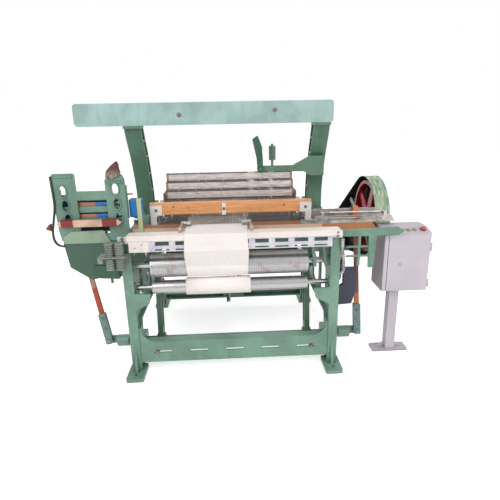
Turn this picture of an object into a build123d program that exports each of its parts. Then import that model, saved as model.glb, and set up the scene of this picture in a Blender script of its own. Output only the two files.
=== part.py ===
from build123d import *
import math
import os

# A shuttle power loom with a drop box at the left end of its lay, and its control cabinet on a stand.
# Millimetres. X runs to the weaver's right, Y to the back and Z up.
# The origin is on the floor, midway between the four foot bolts.

# Side frames
FRAME_CENTRES = 1290.0
FRAME_WIDTH = 60.0
FRAME_WEB = 16.0
FRAME_RIM = 14.0
FRAME_DEPTH = 1080.0
FRAME_FRONT_TOP = 905.0
FRAME_POST_DEPTH = 64.0
FRAME_DIP = 790.0
FRAME_HEAD = 930.0
FRAME_ARCH = 330.0
LEG_DEPTH = 88.0
BOSS_RADIUS = 56.0
FOOT_REACH = 100.0
FOOT_WIDTH = 112.0
FOOT_THICKNESS = 24.0
FOOT_BOLT_RADIUS = 9.0
FOOT_BOLT_SPACING_Y = 1180.0

# Girders and beams
GIRDER_BOTTOM = 80.0
GIRDER_HEIGHT = 148.0
GIRDER_WALL = 12.0
GIRDER_DEPTH = 62.0
GIRDER_SLOTS = 5
GIRDER_SLOT_LENGTH = 120.0
GIRDER_SLOT_HEIGHT = 14.0
GIRDER_LUG_TOP = 325.0
REAR_GIRDER_HEIGHT = 120.0
BREAST_DEPTH = 80.0
BREAST_BOTTOM = 850.0
BREAST_TOP = 950.0
BREAST_WALL = 10.0
BREAST_WINDOWS = 9
BREAST_WINDOW_LENGTH = 82.0
BREAST_WINDOW_HEIGHT = 24.0
BREAST_DASH_HEIGHT = 9.0
COVER_SHEET = 3.0
COVER_LEFT = -622.0
COVER_RIGHT = 662.0
COVER_LIP = 35.0
END_PLATE_WIDTH = 128.0
HANGER_X = (507.0, 577.0)
HANGER_BOTTOM = 696.0
ARCH_HEIGHT = 645.0
ARCH_FLANGE_WIDTH = 112.0
ARCH_WEB = 16.0
ARCH_DEPTH = 92.0
ARCH_FORWARD = 215.0
TOP_BEAM_LEFT = -1016.0
TOP_BEAM_RIGHT = 716.0
TOP_BEAM_HEIGHT = 145.0
TOP_BEAM_DEPTH = 130.0
TOP_BEAM_WALL = 12.0

# Crankshaft, bottom shaft and drive
CRANK_Y = 210.0
CRANK_Z = 850.0
CRANK_RADIUS = 25.0
CRANK_THROW = 50.0
CRANK_PIN_RADIUS = 22.0
CRANK_WEB = 18.0
CRANK_LEFT_END = -742.0
CRANK_RIGHT_END = 1136.0
GEAR_MODULE = 9.0
CRANK_GEAR_TEETH = 26
BOTTOM_GEAR_TEETH = 52
GEAR_WIDTH = 28.0
GEAR_INNER_X = -702.0
BOTTOM_SHAFT_RADIUS = 22.0
TAPPET_LIFT = 50.0
TAPPET_RADIUS = 90.0
TAPPET_WIDTH = 22.0
WHEEL_RADIUS = 280.0
WHEEL_WIDTH = 56.0
WHEEL_X = 1091.0
WHEEL_SPOKES = 5
GROOVE_DEPTH = 10.0
BELT_WIDTH = 22.0
BELT_THICKNESS = 9.0
PULLEY_RADIUS = 70.0
MOTOR_Y = 820.0
MOTOR_Z = 600.0
MOTOR_RADIUS = 95.0
MOTOR_LENGTH = 220.0
GUARD_RADIUS = 315.0
GUARD_TAIL_RADIUS = 200.0
GUARD_WIDTH = 107.0
GUARD_SHEET = 4.0

# Lay
ROCK_Y = -320.0
ROCK_Z = 130.0
ROCK_RADIUS = 22.0
ROCK_HALF_LENGTH = 815.0
LAY_LEAN = 7.1
SWORD_X = 512.0
SWORD_THICKNESS = 36.0
SWORD_FOOT_WIDTH = 72.0
SWORD_TOP_WIDTH = 54.0
SWORD_PIN_HEIGHT = 630.0
RACE_TOP = 930.0
RACE_THICKNESS = 60.0
RACE_FRONT = -310.0
RACE_DEPTH = 120.0
RACE_LEFT = -652.0
RACE_RIGHT = 980.0
RACE_END_SLANT = 40.0
REED_LEFT = -490.0
REED_RIGHT = 500.0
REED_THICKNESS = 8.0
REED_GAPS = 100
RAIL_BOTTOM = 995.0
RAIL_HEIGHT = 84.0
RAIL_THICKNESS = 42.0
RAIL_OVERHANG = 48.0
RAIL_END_PLATE = 80.0

# Drop box at the left end of the lay
TOWER_FRONT = -345.0
TOWER_PLATE = 12.0
TOWER_TOP = 1302.0
TOWER_LEFT = -1112.0
TOWER_WIDTH = 152.0
TOWER_RIGHT_WIDTH = 126.0
TOWER_BAR_TOP = 1190.0
TOWER_BAR_HEIGHT = 56.0
EYE_WIDTH = 42.0
EYE_HEIGHT = 70.0
EYE_RIM = 7.0
CELL_PITCH = 76.0
CELL_COUNT = 3
CELL_LEFT = -1085.0
CELL_RIGHT = -684.0
CELL_FRONT = -330.0
CELL_BACK = -258.0
CELL_PLATE = 6.0
CELL_LIP = 30.0
BOX_ROD_RADIUS = 9.0

# Shuttle box at the right end of the lay
RIGHT_BOX_LEFT = 556.0
RIGHT_BOX_RIGHT = 1098.0
RIGHT_BOX_HEIGHT = 72.0
RIGHT_BOX_LEAD = 92.0

# Picking sticks
STICK_LEFT_REACH = 61.0
STICK_RIGHT_REACH = 63.0
STICK_OVERSHOOT = 12.0
STICK_WIDTH = 34.0
STICK_THICKNESS = 20.0
STICK_LEFT_SPLAY = 11.0
STICK_RIGHT_SPLAY = 1.5
STICK_SLOT = 28.0

# Cloth and warp
SAND_Y = -455.0
SAND_Z = 723.0
SAND_RADIUS = 75.0
SAND_LEFT = -508.0
SAND_RIGHT = 478.0
CLOTH_ROLL_Y = -470.0
CLOTH_ROLL_Z = 583.0
CLOTH_ROLL_RADIUS = 56.0
CLOTH_ROLLER_RADIUS = 44.0
JOURNAL_RADIUS = 16.0
CLOTH_LEFT = -285.0
CLOTH_RIGHT = 100.0
CLOTH_THICKNESS = 3.0
SOFT_GAP = 0.3
FELL_Y = -345.0
WARP_BEAM_Y = 655.0
WARP_BEAM_Z = 430.0
WARP_BARREL_RADIUS = 70.0
WARP_ROLL_RADIUS = 135.0
WARP_FLANGE_RADIUS = 185.0
BACK_REST_Y = 576.0
BACK_REST_Z = 925.0
BACK_REST_RADIUS = 30.0

# Heald frames and treadles
HEALD_COUNT = 3
HEALD_FIRST_Y = -40.0
HEALD_PITCH = 50.0
HEALD_HALF_LENGTH = 455.0
HEALD_HEIGHT = 380.0
HEALD_TOP = 1130.0
HEALD_STROKE = 110.0
HEALD_BAR = 64.0
HEALD_THICKNESS = 16.0
TREADLE_PIVOT_Y = 400.0
TREADLE_PIVOT_Z = 215.0
TREADLE_PITCH = 44.0

# Take-up train at the right
TAKE_UP_MODULE = 5.0
SAND_GEAR_TEETH = 36
CHANGE_GEAR_TEETH = 20
TAKE_UP_WIDTH = 18.0

# Control cabinet on its stand
CABINET_LEFT = 985.0
CABINET_WIDTH = 305.0
CABINET_FRONT = -450.0
CABINET_DEPTH = 200.0
CABINET_BOTTOM = 486.0
CABINET_TOP = 906.0
CABINET_SLOPE_DROP = 26.0
CABINET_SLOPE_DEPTH = 80.0
CABINET_SHEET = 4.0
POST_WIDTH = 64.0
STAND_FOOT_WIDTH = 250.0
STAND_FOOT_DEPTH = 96.0
STAND_FOOT_THICKNESS = 14.0
BUTTON_COUNT = 2
LAMP_COUNT = 3
BUTTON_RADIUS = 10.0
STOP_RADIUS = 17.0

# Fits
RUNNING_FIT = 0.05
SIDE_GAP = 0.3

# Shaft bushes and seats
BUSH_WALL = 8.0
BUSH_SEAT = 0.02

# Lifting rod of the drop box
BOX_ROD_X = -812.0
BOX_ROD_Y = -312.0
BOX_ROD_LOW = 560.0

# Take-up ratchet
CHANGE_ANGLE = -50.0
STUD_RADIUS = 10.0
RATCHET_TEETH = 28
RATCHET_ROOT = 60.0
RATCHET_TIP = 67.0

# Heald wires and treadles
HEALD_WIRES = 36
TREADLE_THICKNESS = 16.0
TREADLE_FRONT_Y = -70.0
BOWL_RADIUS = 28.0

# Levelling lever and starting handle
LEVER_X = 222.0
LEVER_Y = 26.0
LEVER_Z = 1262.0
LEVER_LENGTH = 232.0
LEVER_LEAN = 36.0
SPRING_POST_X = 308.0
HANDLE_THICKNESS = 8.0
HANDLE_Y = -510.0
HANDLE_Z = 756.0
HANDLE_TOP_Y = -553.0
HANDLE_TOP_Z = 850.0

# Springs, guards and cases outside the front legs
SPRING_RADIUS = 26.0
SPRING_ROD_RADIUS = 7.0
SPRING_PITCH = 14.0
SPRING_LOW = 762.0
SPRING_PLATE = 834.0
SPRING_HIGH = 920.0
SPRING_Y = -598.0
SPRING_X = (-720.0, -662.0)
GUARD_ARM_RIGHT = 1080.0
GUARD_ARM_BOTTOM = 888.0
GUARD_ARM_TOP = 930.0
GUARD_BAR_X = 888.0
GUARD_BAR_WIDTH = 52.0
GUARD_BAR_BOTTOM = 678.0
CASE_RIGHT = 816.0
CASE_TOP = 654.0
CASE_BOTTOM = 388.0

# Cabinet fittings
BUTTON_STEM = 7.0
BUTTON_PITCH = 40.0
BUTTON_TRAVEL = 4.5
DOOR_SHEET = 3.0
HINGE_KNUCKLE = 26.0
HINGE_RADIUS = 5.0
HINGE_PIN = 2.5
STAND_POST_X = 118.0

# Derived places
FRAME_X = FRAME_CENTRES / 2
FRAME_INNER = FRAME_X - FRAME_WIDTH / 2
FRAME_OUTER = FRAME_X + FRAME_WIDTH / 2
FRONT_Y = -FRAME_DEPTH / 2
BACK_Y = FRAME_DEPTH / 2
BOTTOM_SHAFT_Y = CRANK_Y
BOTTOM_SHAFT_Z = CRANK_Z - GEAR_MODULE * (CRANK_GEAR_TEETH + BOTTOM_GEAR_TEETH) / 2
ARM_INNER = SWORD_X + SWORD_THICKNESS / 2 + 8.0 + SIDE_GAP
ARM_WIDTH = 34.0
RACE_BOTTOM = RACE_TOP - RACE_THICKNESS
RACE_BACK = RACE_FRONT + RACE_DEPTH
REED_Y = RACE_BACK - REED_THICKNESS - 4.0
SHAFT_SEAT = BOTTOM_SHAFT_RADIUS + BUSH_SEAT
MOTOR_RIGHT = WHEEL_X - WHEEL_WIDTH / 2 - 34
TAKE_UP_X = (FRAME_OUTER + 14, FRAME_OUTER + 14 + TAKE_UP_WIDTH)
STICK_LEFT_X = -ROCK_HALF_LENGTH - STICK_LEFT_REACH
STICK_RIGHT_X = ROCK_HALF_LENGTH + STICK_RIGHT_REACH
STICK_RISE = RACE_TOP + RIGHT_BOX_HEIGHT + STICK_OVERSHOOT - ROCK_Z
STICK_LENGTH = STICK_RISE / math.cos(math.radians(LAY_LEAN))
HEALD_STEP = HEALD_STROKE / (HEALD_COUNT - 1)
BEAM_FRONT = FRONT_Y - 30.0
HINGE_LEVELS = (CABINET_BOTTOM + 50, CABINET_BOTTOM + 300)


def block(x, y, z):
    """A rectangular solid between low and high values along each axis."""
    middle = Pos((x[0] + x[1]) / 2, (y[0] + y[1]) / 2, (z[0] + z[1]) / 2)
    return middle * Box(x[1] - x[0], y[1] - y[0], z[1] - z[0])


def rod_x(x, y, z, radius):
    return Pos((x[0] + x[1]) / 2, y, z) * Rot(0, 90, 0) * Cylinder(radius, x[1] - x[0])


def rod_y(x, y, z, radius):
    return Pos(x, (y[0] + y[1]) / 2, z) * Rot(90, 0, 0) * Cylinder(radius, y[1] - y[0])


def rod_z(x, y, z, radius):
    return Pos(x, y, (z[0] + z[1]) / 2) * Cylinder(radius, z[1] - z[0])


def tube_x(x, y, z, outer, inner):
    return rod_x(x, y, z, outer) - rod_x((x[0] - 1, x[1] + 1), y, z, inner)


def flat(points, rounding=0.0):
    """A face through the points, with every corner rounded when a radius is given."""
    face = make_face(Polyline(*points, close=True))
    if rounding:
        face = fillet(face.vertices(), rounding)
    return face


def side_plate(face, x):
    """Extrudes a face drawn in (Y, Z) between two X values."""
    return extrude(Plane.YZ.offset(x[0]) * face, amount=x[1] - x[0])


def front_plate(face, y):
    """Extrudes a face drawn in (X, Z) between two Y values."""
    return extrude(Plane.XZ.offset(-y[1]) * face, amount=y[1] - y[0])


def top_plate(face, z):
    """Extrudes a face drawn in (X, Y) between two Z values."""
    return extrude(Plane.XY.offset(z[0]) * face, amount=z[1] - z[0])


def mirrored(part):
    return mirror(part, about=Plane.YZ)


def gear_face(module, teeth, tooth_angle):
    """A spur gear's outline. One tooth points at tooth_angle, and its flanks narrow from root to tip."""
    pitch = module * teeth / 2
    step = 2 * math.pi / teeth
    profile = ((pitch - 1.2 * module, 0.29), (pitch, 0.232), (pitch + 0.9 * module, 0.12))
    points = []
    for tooth in range(teeth):
        centre = math.radians(tooth_angle) + tooth * step
        rising = [(radius, centre - share * step) for radius, share in profile]
        falling = [(radius, centre + share * step) for radius, share in reversed(profile)]
        points += [(r * math.cos(a), r * math.sin(a)) for r, a in rising + falling]
    return flat(points)


def gear(module, teeth, tooth_angle, x, y, z, bore):
    wheel = side_plate(Pos(y, z) * gear_face(module, teeth, tooth_angle), x)
    return wheel - rod_x((x[0] - 1, x[1] + 1), y, z, bore)


def ring_of(parts):
    whole = parts[0]
    for part in parts[1:]:
        whole += part
    return whole


def group(parts):
    """Separate solids kept together in one node."""
    return Compound(children=[solid for part in parts for solid in part.solids()])


# Side frames

def side_outline():
    """The casting's silhouette from the side, with the bearing arm of the rocking shaft."""
    leg = LEG_DEPTH
    arm = BOSS_RADIUS
    return [
        (FRONT_Y, 0),
        (FRONT_Y, FRAME_FRONT_TOP),
        (FRONT_Y + FRAME_POST_DEPTH, FRAME_FRONT_TOP),
        (FRONT_Y + FRAME_POST_DEPTH + 20, FRAME_DIP),
        (CRANK_Y - 150, FRAME_DIP),
        (CRANK_Y - 90, FRAME_HEAD),
        (CRANK_Y + 110, FRAME_HEAD),
        (CRANK_Y + 190, FRAME_DIP + 10),
        (BACK_Y, FRAME_DIP - 30),
        (BACK_Y, 0),
        (BACK_Y - leg, 0),
        (BACK_Y - leg - 30, FRAME_ARCH),
        (FRONT_Y + leg + 60, FRAME_ARCH),
        (FRONT_Y + leg + 40, ROCK_Z + arm + 20),
        (ROCK_Y + arm, ROCK_Z + arm),
        (ROCK_Y + arm, ROCK_Z - arm),
        (FRONT_Y + leg, ROCK_Z - arm - 12),
        (FRONT_Y + leg, 0),
    ]


def web_window(low_y, high_y, low_z, high_z):
    face = flat([(low_y, low_z), (high_y, low_z), (high_y, high_z), (low_y, high_z)], 38)
    return side_plate(face, (FRAME_INNER - 1, FRAME_OUTER + 1))


def foot(direction):
    """The pad that the casting stands on, its anchor hole and its rib. Direction -1 is the front."""
    face_y = direction * FRAME_DEPTH / 2
    toe_y = face_y + direction * FOOT_REACH
    heel_y = face_y - direction * LEG_DEPTH
    low_y, high_y = sorted((toe_y, heel_y))
    half = FOOT_WIDTH / 2
    corners = [(-half, low_y), (half, low_y), (half, high_y), (-half, high_y)]
    pad = top_plate(Pos(FRAME_X, 0) * flat(corners, 14), (0, FOOT_THICKNESS))
    rib_top = FOOT_THICKNESS + 1.5 * FOOT_REACH
    rib_toe = toe_y - direction * 70
    rib = flat([(face_y, FOOT_THICKNESS), (rib_toe, FOOT_THICKNESS), (face_y, rib_top)])
    rib_solid = side_plate(rib, (FRAME_X - FRAME_WEB / 2, FRAME_X + FRAME_WEB / 2))
    bolt_y = direction * FOOT_BOLT_SPACING_Y / 2
    hole = rod_z(FRAME_X, bolt_y, (-1, FOOT_THICKNESS + 1), FOOT_BOLT_RADIUS)
    return pad + rib_solid - hole


def boss(y, z, radius):
    return rod_x((FRAME_INNER, FRAME_OUTER), y, z, radius)


def roller_lug():
    """The curved lug inside the front leg, below the cloth roller's end."""
    top = CLOTH_ROLL_Z - JOURNAL_RADIUS
    reach = LEG_DEPTH + 12
    inner = FRAME_INNER - reach
    corners = [(FRAME_INNER + 1, top), (inner, top - 4), (inner + 14, top - 70), (FRAME_INNER + 1, top - reach - 14)]
    return front_plate(flat(corners), (FRONT_Y, FRONT_Y + FRAME_RIM))


def side_frame():
    """The right casting: a web with windows inside a rim, bearing bosses and two feet."""
    outline = flat(side_outline(), 16)
    hollow = offset(outline, amount=-FRAME_RIM)
    whole = (FRAME_INNER, FRAME_OUTER)
    web = side_plate(outline, (FRAME_X - FRAME_WEB / 2, FRAME_X + FRAME_WEB / 2))
    rim = side_plate(outline, whole) - side_plate(hollow, (whole[0] - 1, whole[1] + 1))
    window_top = FRAME_DIP - 60
    window_bottom = FRAME_ARCH + 60
    web -= web_window(FRONT_Y + 225, -135, window_bottom, pawl_place()[1] - 2.2 * STUD_RADIUS - 16)
    web -= web_window(-95, CRANK_Y - 90, window_bottom, window_top)
    web -= web_window(CRANK_Y + 90, BACK_Y - 40, window_bottom, window_top)
    frame = web + rim
    frame += boss(CRANK_Y, CRANK_Z, BOSS_RADIUS)
    frame += boss(BOTTOM_SHAFT_Y, BOTTOM_SHAFT_Z, BOSS_RADIUS)
    frame += boss(ROCK_Y, ROCK_Z, BOSS_RADIUS - 6)
    frame += boss(SAND_Y, SAND_Z, 2.2 * JOURNAL_RADIUS)
    frame += boss(CLOTH_ROLL_Y, CLOTH_ROLL_Z, 2.2 * JOURNAL_RADIUS)
    frame += foot(-1) + foot(1) + roller_lug()
    through = (FRAME_INNER - 1, FRAME_OUTER + 1)
    frame -= rod_x(through, CRANK_Y, CRANK_Z, CRANK_RADIUS + BUSH_WALL)
    frame -= rod_x(through, BOTTOM_SHAFT_Y, BOTTOM_SHAFT_Z, BOTTOM_SHAFT_RADIUS + BUSH_WALL)
    frame -= rod_x(through, ROCK_Y, ROCK_Z, ROCK_RADIUS + BUSH_WALL)
    frame -= rod_x(through, SAND_Y, SAND_Z, JOURNAL_RADIUS + RUNNING_FIT)
    frame -= rod_x(through, CLOTH_ROLL_Y, CLOTH_ROLL_Z, JOURNAL_RADIUS + RUNNING_FIT)
    return frame


def bush(y, z, radius):
    """A flanged bearing bush of the right frame, with its flange on the outer face of the boss."""
    outer = radius + BUSH_WALL - BUSH_SEAT
    shell = rod_x((FRAME_INNER, FRAME_OUTER), y, z, outer)
    flange = rod_x((FRAME_OUTER, FRAME_OUTER + 6), y, z, outer + 10)
    hole = rod_x((FRAME_INNER - 1, FRAME_OUTER + 7), y, z, radius + RUNNING_FIT)
    return shell + flange - hole


def shaft_bushes():
    places = (
        (CRANK_Y, CRANK_Z, CRANK_RADIUS),
        (BOTTOM_SHAFT_Y, BOTTOM_SHAFT_Z, BOTTOM_SHAFT_RADIUS),
        (ROCK_Y, ROCK_Z, ROCK_RADIUS),
    )
    right = [bush(*place) for place in places]
    return group(right + [mirrored(part) for part in right])


# Girders and beams

def girder_slots(y):
    pitch = (2 * FRAME_INNER - 60) / GIRDER_SLOTS
    middle = GIRDER_BOTTOM + GIRDER_HEIGHT / 2
    cuts = []
    for index in range(GIRDER_SLOTS):
        x = (index - (GIRDER_SLOTS - 1) / 2) * pitch
        slot = Pos(x, middle) * SlotOverall(GIRDER_SLOT_LENGTH, GIRDER_SLOT_HEIGHT)
        cuts.append(front_plate(slot, y))
    return cuts


def front_girder():
    """A slotted channel between the front legs, with a curved lug at each end."""
    front = FRONT_Y + 5
    back = front + GIRDER_DEPTH
    top = GIRDER_BOTTOM + GIRDER_HEIGHT
    span = (-FRAME_INNER, FRAME_INNER)
    girder = block(span, (front, front + GIRDER_WALL), (GIRDER_BOTTOM, top))
    girder += block(span, (front, back), (top - GIRDER_WALL, top))
    girder += block(span, (front, back), (GIRDER_BOTTOM, GIRDER_BOTTOM + GIRDER_WALL))
    for cut in girder_slots((front - 1, front + GIRDER_WALL + 1)):
        girder -= cut
    lug_inner = FRAME_INNER - GIRDER_WALL
    lug = block((lug_inner, FRAME_INNER), (front, back), (GIRDER_BOTTOM, GIRDER_LUG_TOP))
    rise = GIRDER_LUG_TOP - top
    curve = make_face(
        Polyline((lug_inner, top + rise), (lug_inner, top), (lug_inner - rise, top))
        + RadiusArc((lug_inner - rise, top), (lug_inner, top + rise), -rise)
    )
    lug += front_plate(curve, (front, front + GIRDER_WALL))
    return girder + lug + mirrored(lug)


def rear_girder():
    back = BACK_Y - 30
    front = back - GIRDER_DEPTH
    low = GIRDER_BOTTOM
    high = low + REAR_GIRDER_HEIGHT
    span = (-FRAME_INNER, FRAME_INNER)
    girder = block(span, (front, back), (low, high))
    return girder - block((-FRAME_INNER + 20, FRAME_INNER - 20), (front - 1, back - 12), (low + 12, high - 12))


def breast_beam():
    """A trough section, open below, that rests on the front of both side frames."""
    front = BEAM_FRONT
    back = front + BREAST_DEPTH
    half = FRAME_INNER - 1
    beam = block((-half, half), (front, back), (BREAST_BOTTOM, BREAST_TOP))
    inner = (front + BREAST_WALL, back - BREAST_WALL)
    beam -= block((-half - 1, half + 1), inner, (BREAST_BOTTOM - 1, BREAST_TOP - BREAST_WALL))
    for side in (-1, 1):
        low, high = sorted((side * half, side * (FRAME_OUTER)))
        beam += block((low, high), (front, back), (FRAME_FRONT_TOP, BREAST_TOP))
    for window in beam_windows((front - 1, front + BREAST_WALL + 1)):
        beam -= window
    for x in HANGER_X:
        top = BREAST_BOTTOM + BREAST_WALL
        face = flat([(x - 10, top), (x + 10, top), (x + 30, HANGER_BOTTOM), (x + 10, HANGER_BOTTOM)])
        beam += front_plate(face, (back - BREAST_WALL, back))
    return beam


def beam_windows(y):
    """Two rows of openings in the beam's front wall, clear of the end plate: tall windows over thin dashes."""
    low = -FRAME_INNER + END_PLATE_WIDTH + 12
    high = FRAME_INNER - 12
    pitch = (high - low) / BREAST_WINDOWS
    top = BREAST_TOP + COVER_SHEET - COVER_LIP - 6
    dash_top = BREAST_BOTTOM + 8 + BREAST_DASH_HEIGHT
    cuts = []
    for index in range(BREAST_WINDOWS):
        middle = low + (index + 0.5) * pitch
        span = (middle - BREAST_WINDOW_LENGTH / 2, middle + BREAST_WINDOW_LENGTH / 2)
        cuts.append(block(span, y, (top - BREAST_WINDOW_HEIGHT, top)))
        cuts.append(block(span, y, (dash_top - BREAST_DASH_HEIGHT, dash_top)))
    return cuts


def breast_cover():
    """A folded sheet over the beam's top, with a narrow front lip that spreads at its right end."""
    front = BEAM_FRONT
    back = front + BREAST_DEPTH
    top = block((COVER_LEFT, COVER_RIGHT), (front - COVER_SHEET, back), (BREAST_TOP, BREAST_TOP + COVER_SHEET))
    low = BREAST_TOP + COVER_SHEET - COVER_LIP
    face = flat([(COVER_LEFT, low), (COVER_RIGHT + 16, low), (COVER_RIGHT, BREAST_TOP), (COVER_LEFT, BREAST_TOP)])
    return top + front_plate(face, (front - COVER_SHEET, front))


def cover_end_plate():
    """The plate on the beam's front below the cover's left end, with its two bolt holes."""
    high = BREAST_TOP + COVER_SHEET - COVER_LIP - 1
    right = COVER_LEFT + END_PLATE_WIDTH
    y = (BEAM_FRONT - COVER_SHEET, BEAM_FRONT)
    plate = block((-FRAME_INNER + 2, right), y, (BREAST_BOTTOM, high))
    for share, level in ((0.35, 0.4), (0.68, 0.7)):
        x = COVER_LEFT + share * END_PLATE_WIDTH
        z = BREAST_BOTTOM + level * (high - BREAST_BOTTOM)
        plate -= rod_y(x, (y[0] - 1, y[1] + 1), z, 6)
    return plate


def arch_curve(shift):
    """The leg's centre line from its base to its head, moved by a shift along Y."""
    base = CRANK_Y + 10 + shift
    places = ((0.0, 0.03), (0.2, 0.03), (0.42, 0.2), (0.63, 0.46), (0.83, 0.8), (0.97, 1.0))
    return [(base - share * ARCH_FORWARD, FRAME_HEAD + 14 + part * ARCH_HEIGHT) for part, share in places]


def arch_band(low_shift, high_shift):
    front = Spline(*arch_curve(low_shift))
    back = Spline(*arch_curve(high_shift))
    return make_face([front, Line(front @ 1, back @ 1), back, Line(back @ 0, front @ 0)])


def arch_leg():
    """A curved I-section bracket that carries the top beam, with ribs between its flanges."""
    half = ARCH_DEPTH / 2
    flange = (FRAME_X - ARCH_FLANGE_WIDTH / 2, FRAME_X + ARCH_FLANGE_WIDTH / 2)
    web = (FRAME_X - ARCH_WEB / 2, FRAME_X + ARCH_WEB / 2)
    leg = side_plate(arch_band(-half, half), web)
    leg += side_plate(arch_band(-half, -half + 15), flange)
    leg += side_plate(arch_band(half - 15, half), flange)
    base = (CRANK_Y - 80, CRANK_Y + 100)
    leg += block(flange, base, (FRAME_HEAD, FRAME_HEAD + 16))
    head_top = FRAME_HEAD + ARCH_HEIGHT
    leg += block(flange, (-TOP_BEAM_DEPTH / 2, TOP_BEAM_DEPTH / 2), (head_top - 18, head_top))
    whole = side_plate(arch_band(-half + 10, half - 10), flange)
    for part in (0.25, 0.45, 0.65, 0.82):
        level = FRAME_HEAD + 14 + part * ARCH_HEIGHT
        leg += whole & block(flange, (-400, 600), (level - 5, level + 5))
    return leg


def top_beam():
    """The long channel across both arch legs, open to the back, which overhangs the drop box."""
    low = FRAME_HEAD + ARCH_HEIGHT
    high = low + TOP_BEAM_HEIGHT
    half = TOP_BEAM_DEPTH / 2
    span = (TOP_BEAM_LEFT, TOP_BEAM_RIGHT)
    corners = [(span[0], low), (span[1], low), (span[1], high), (span[0], high)]
    beam = front_plate(flat(corners, 24), (-half, half))
    inner = (low + TOP_BEAM_WALL, high - TOP_BEAM_WALL)
    return beam - block((span[0] + 30, span[1] - 30), (-half + TOP_BEAM_WALL, half + 1), inner)


# Crankshaft, bottom shaft and drive

def crank_web(x):
    """One web of a throw: a plate that joins the shaft to the crank pin."""
    hub = Pos(CRANK_Y, CRANK_Z) * Circle(CRANK_RADIUS + 10)
    eye = Pos(CRANK_Y + CRANK_THROW, CRANK_Z) * Circle(CRANK_PIN_RADIUS + 7)
    return side_plate(make_hull([*hub.edges(), *eye.edges()]), x)


def throw(side):
    """The webs and the pin that carry one crank arm. Side is 1 at the right."""
    inner = ARM_INNER - SIDE_GAP
    outer = inner + ARM_WIDTH + 2 * SIDE_GAP
    parts = [
        crank_web((inner - CRANK_WEB, inner)),
        crank_web((outer, outer + CRANK_WEB)),
        rod_x((inner, outer), CRANK_Y + CRANK_THROW, CRANK_Z, CRANK_PIN_RADIUS),
    ]
    whole = ring_of(parts)
    return whole if side > 0 else mirrored(whole)


def crankshaft():
    inner = ARM_INNER - SIDE_GAP - CRANK_WEB
    outer = ARM_INNER + ARM_WIDTH + SIDE_GAP + CRANK_WEB
    shaft = rod_x((-inner, inner), CRANK_Y, CRANK_Z, CRANK_RADIUS)
    shaft += rod_x((CRANK_LEFT_END, -outer), CRANK_Y, CRANK_Z, CRANK_RADIUS)
    shaft += rod_x((outer, CRANK_RIGHT_END), CRANK_Y, CRANK_Z, CRANK_RADIUS)
    return shaft + throw(1) + throw(-1)


def gear_span():
    return (GEAR_INNER_X - GEAR_WIDTH, GEAR_INNER_X)


def crank_gear():
    bore = CRANK_RADIUS + BUSH_SEAT
    wheel = gear(GEAR_MODULE, CRANK_GEAR_TEETH, -90, gear_span(), CRANK_Y, CRANK_Z, bore)
    return wheel + tube_x((GEAR_INNER_X, GEAR_INNER_X + 14), CRANK_Y, CRANK_Z, bore + 16, bore)


def bottom_gear():
    """The large gear, with its web thinned between hub and rim and four lightening holes."""
    bore = BOTTOM_SHAFT_RADIUS + BUSH_SEAT
    place = (BOTTOM_SHAFT_Y, BOTTOM_SHAFT_Z)
    half_tooth = 180 / BOTTOM_GEAR_TEETH
    wheel = gear(GEAR_MODULE, BOTTOM_GEAR_TEETH, 90 + half_tooth, gear_span(), *place, bore)
    rim_inside = GEAR_MODULE * BOTTOM_GEAR_TEETH / 2 - 26
    pocket = tube_x((GEAR_INNER_X - GEAR_WIDTH - 1, GEAR_INNER_X - GEAR_WIDTH + 9), *place, rim_inside, 50)
    wheel -= pocket
    for index in range(4):
        angle = math.radians(45 + 90 * index)
        y = place[0] + 118 * math.cos(angle)
        z = place[1] + 118 * math.sin(angle)
        wheel -= rod_x((GEAR_INNER_X - GEAR_WIDTH - 1, GEAR_INNER_X + 1), y, z, 44)
    return wheel + tube_x((GEAR_INNER_X, GEAR_INNER_X + 14), *place, bore + 18, bore)


def bottom_shaft():
    return rod_x((CRANK_LEFT_END, FRAME_OUTER + 30), BOTTOM_SHAFT_Y, BOTTOM_SHAFT_Z, BOTTOM_SHAFT_RADIUS)


def cam_face(angle, base, nose, nose_radius):
    """A cam: a round back and a nose at the given angle, joined by their tangents."""
    turn = math.radians(angle)
    reach = base + nose - nose_radius
    back = Circle(base)
    tip = Pos(reach * math.cos(turn), reach * math.sin(turn)) * Circle(nose_radius)
    return make_hull([*back.edges(), *tip.edges()])


def cam(angle, nose, x):
    face = Pos(BOTTOM_SHAFT_Y, BOTTOM_SHAFT_Z) * cam_face(angle, TAPPET_RADIUS, nose, 26)
    return side_plate(face, x) - rod_x((x[0] - 1, x[1] + 1), BOTTOM_SHAFT_Y, BOTTOM_SHAFT_Z, SHAFT_SEAT)


def treadle_x(index):
    return (index - (HEALD_COUNT - 1) / 2) * TREADLE_PITCH


def tappets():
    """One cam for each treadle, spread evenly round the shaft."""
    parts = []
    for index in range(HEALD_COUNT):
        middle = treadle_x(index)
        span = (middle - TAPPET_WIDTH / 2, middle + TAPPET_WIDTH / 2)
        parts.append(cam(30 + 120 * index, TAPPET_LIFT, span))
    return group(parts)


def picking_cams():
    """The two cams that drive the picking sticks, near the side frames."""
    right = cam(20, 70, (FRAME_INNER - 75, FRAME_INNER - 45))
    left = mirrored(cam(200, 70, (FRAME_INNER - 75, FRAME_INNER - 45)))
    return group([right, left])


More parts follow.
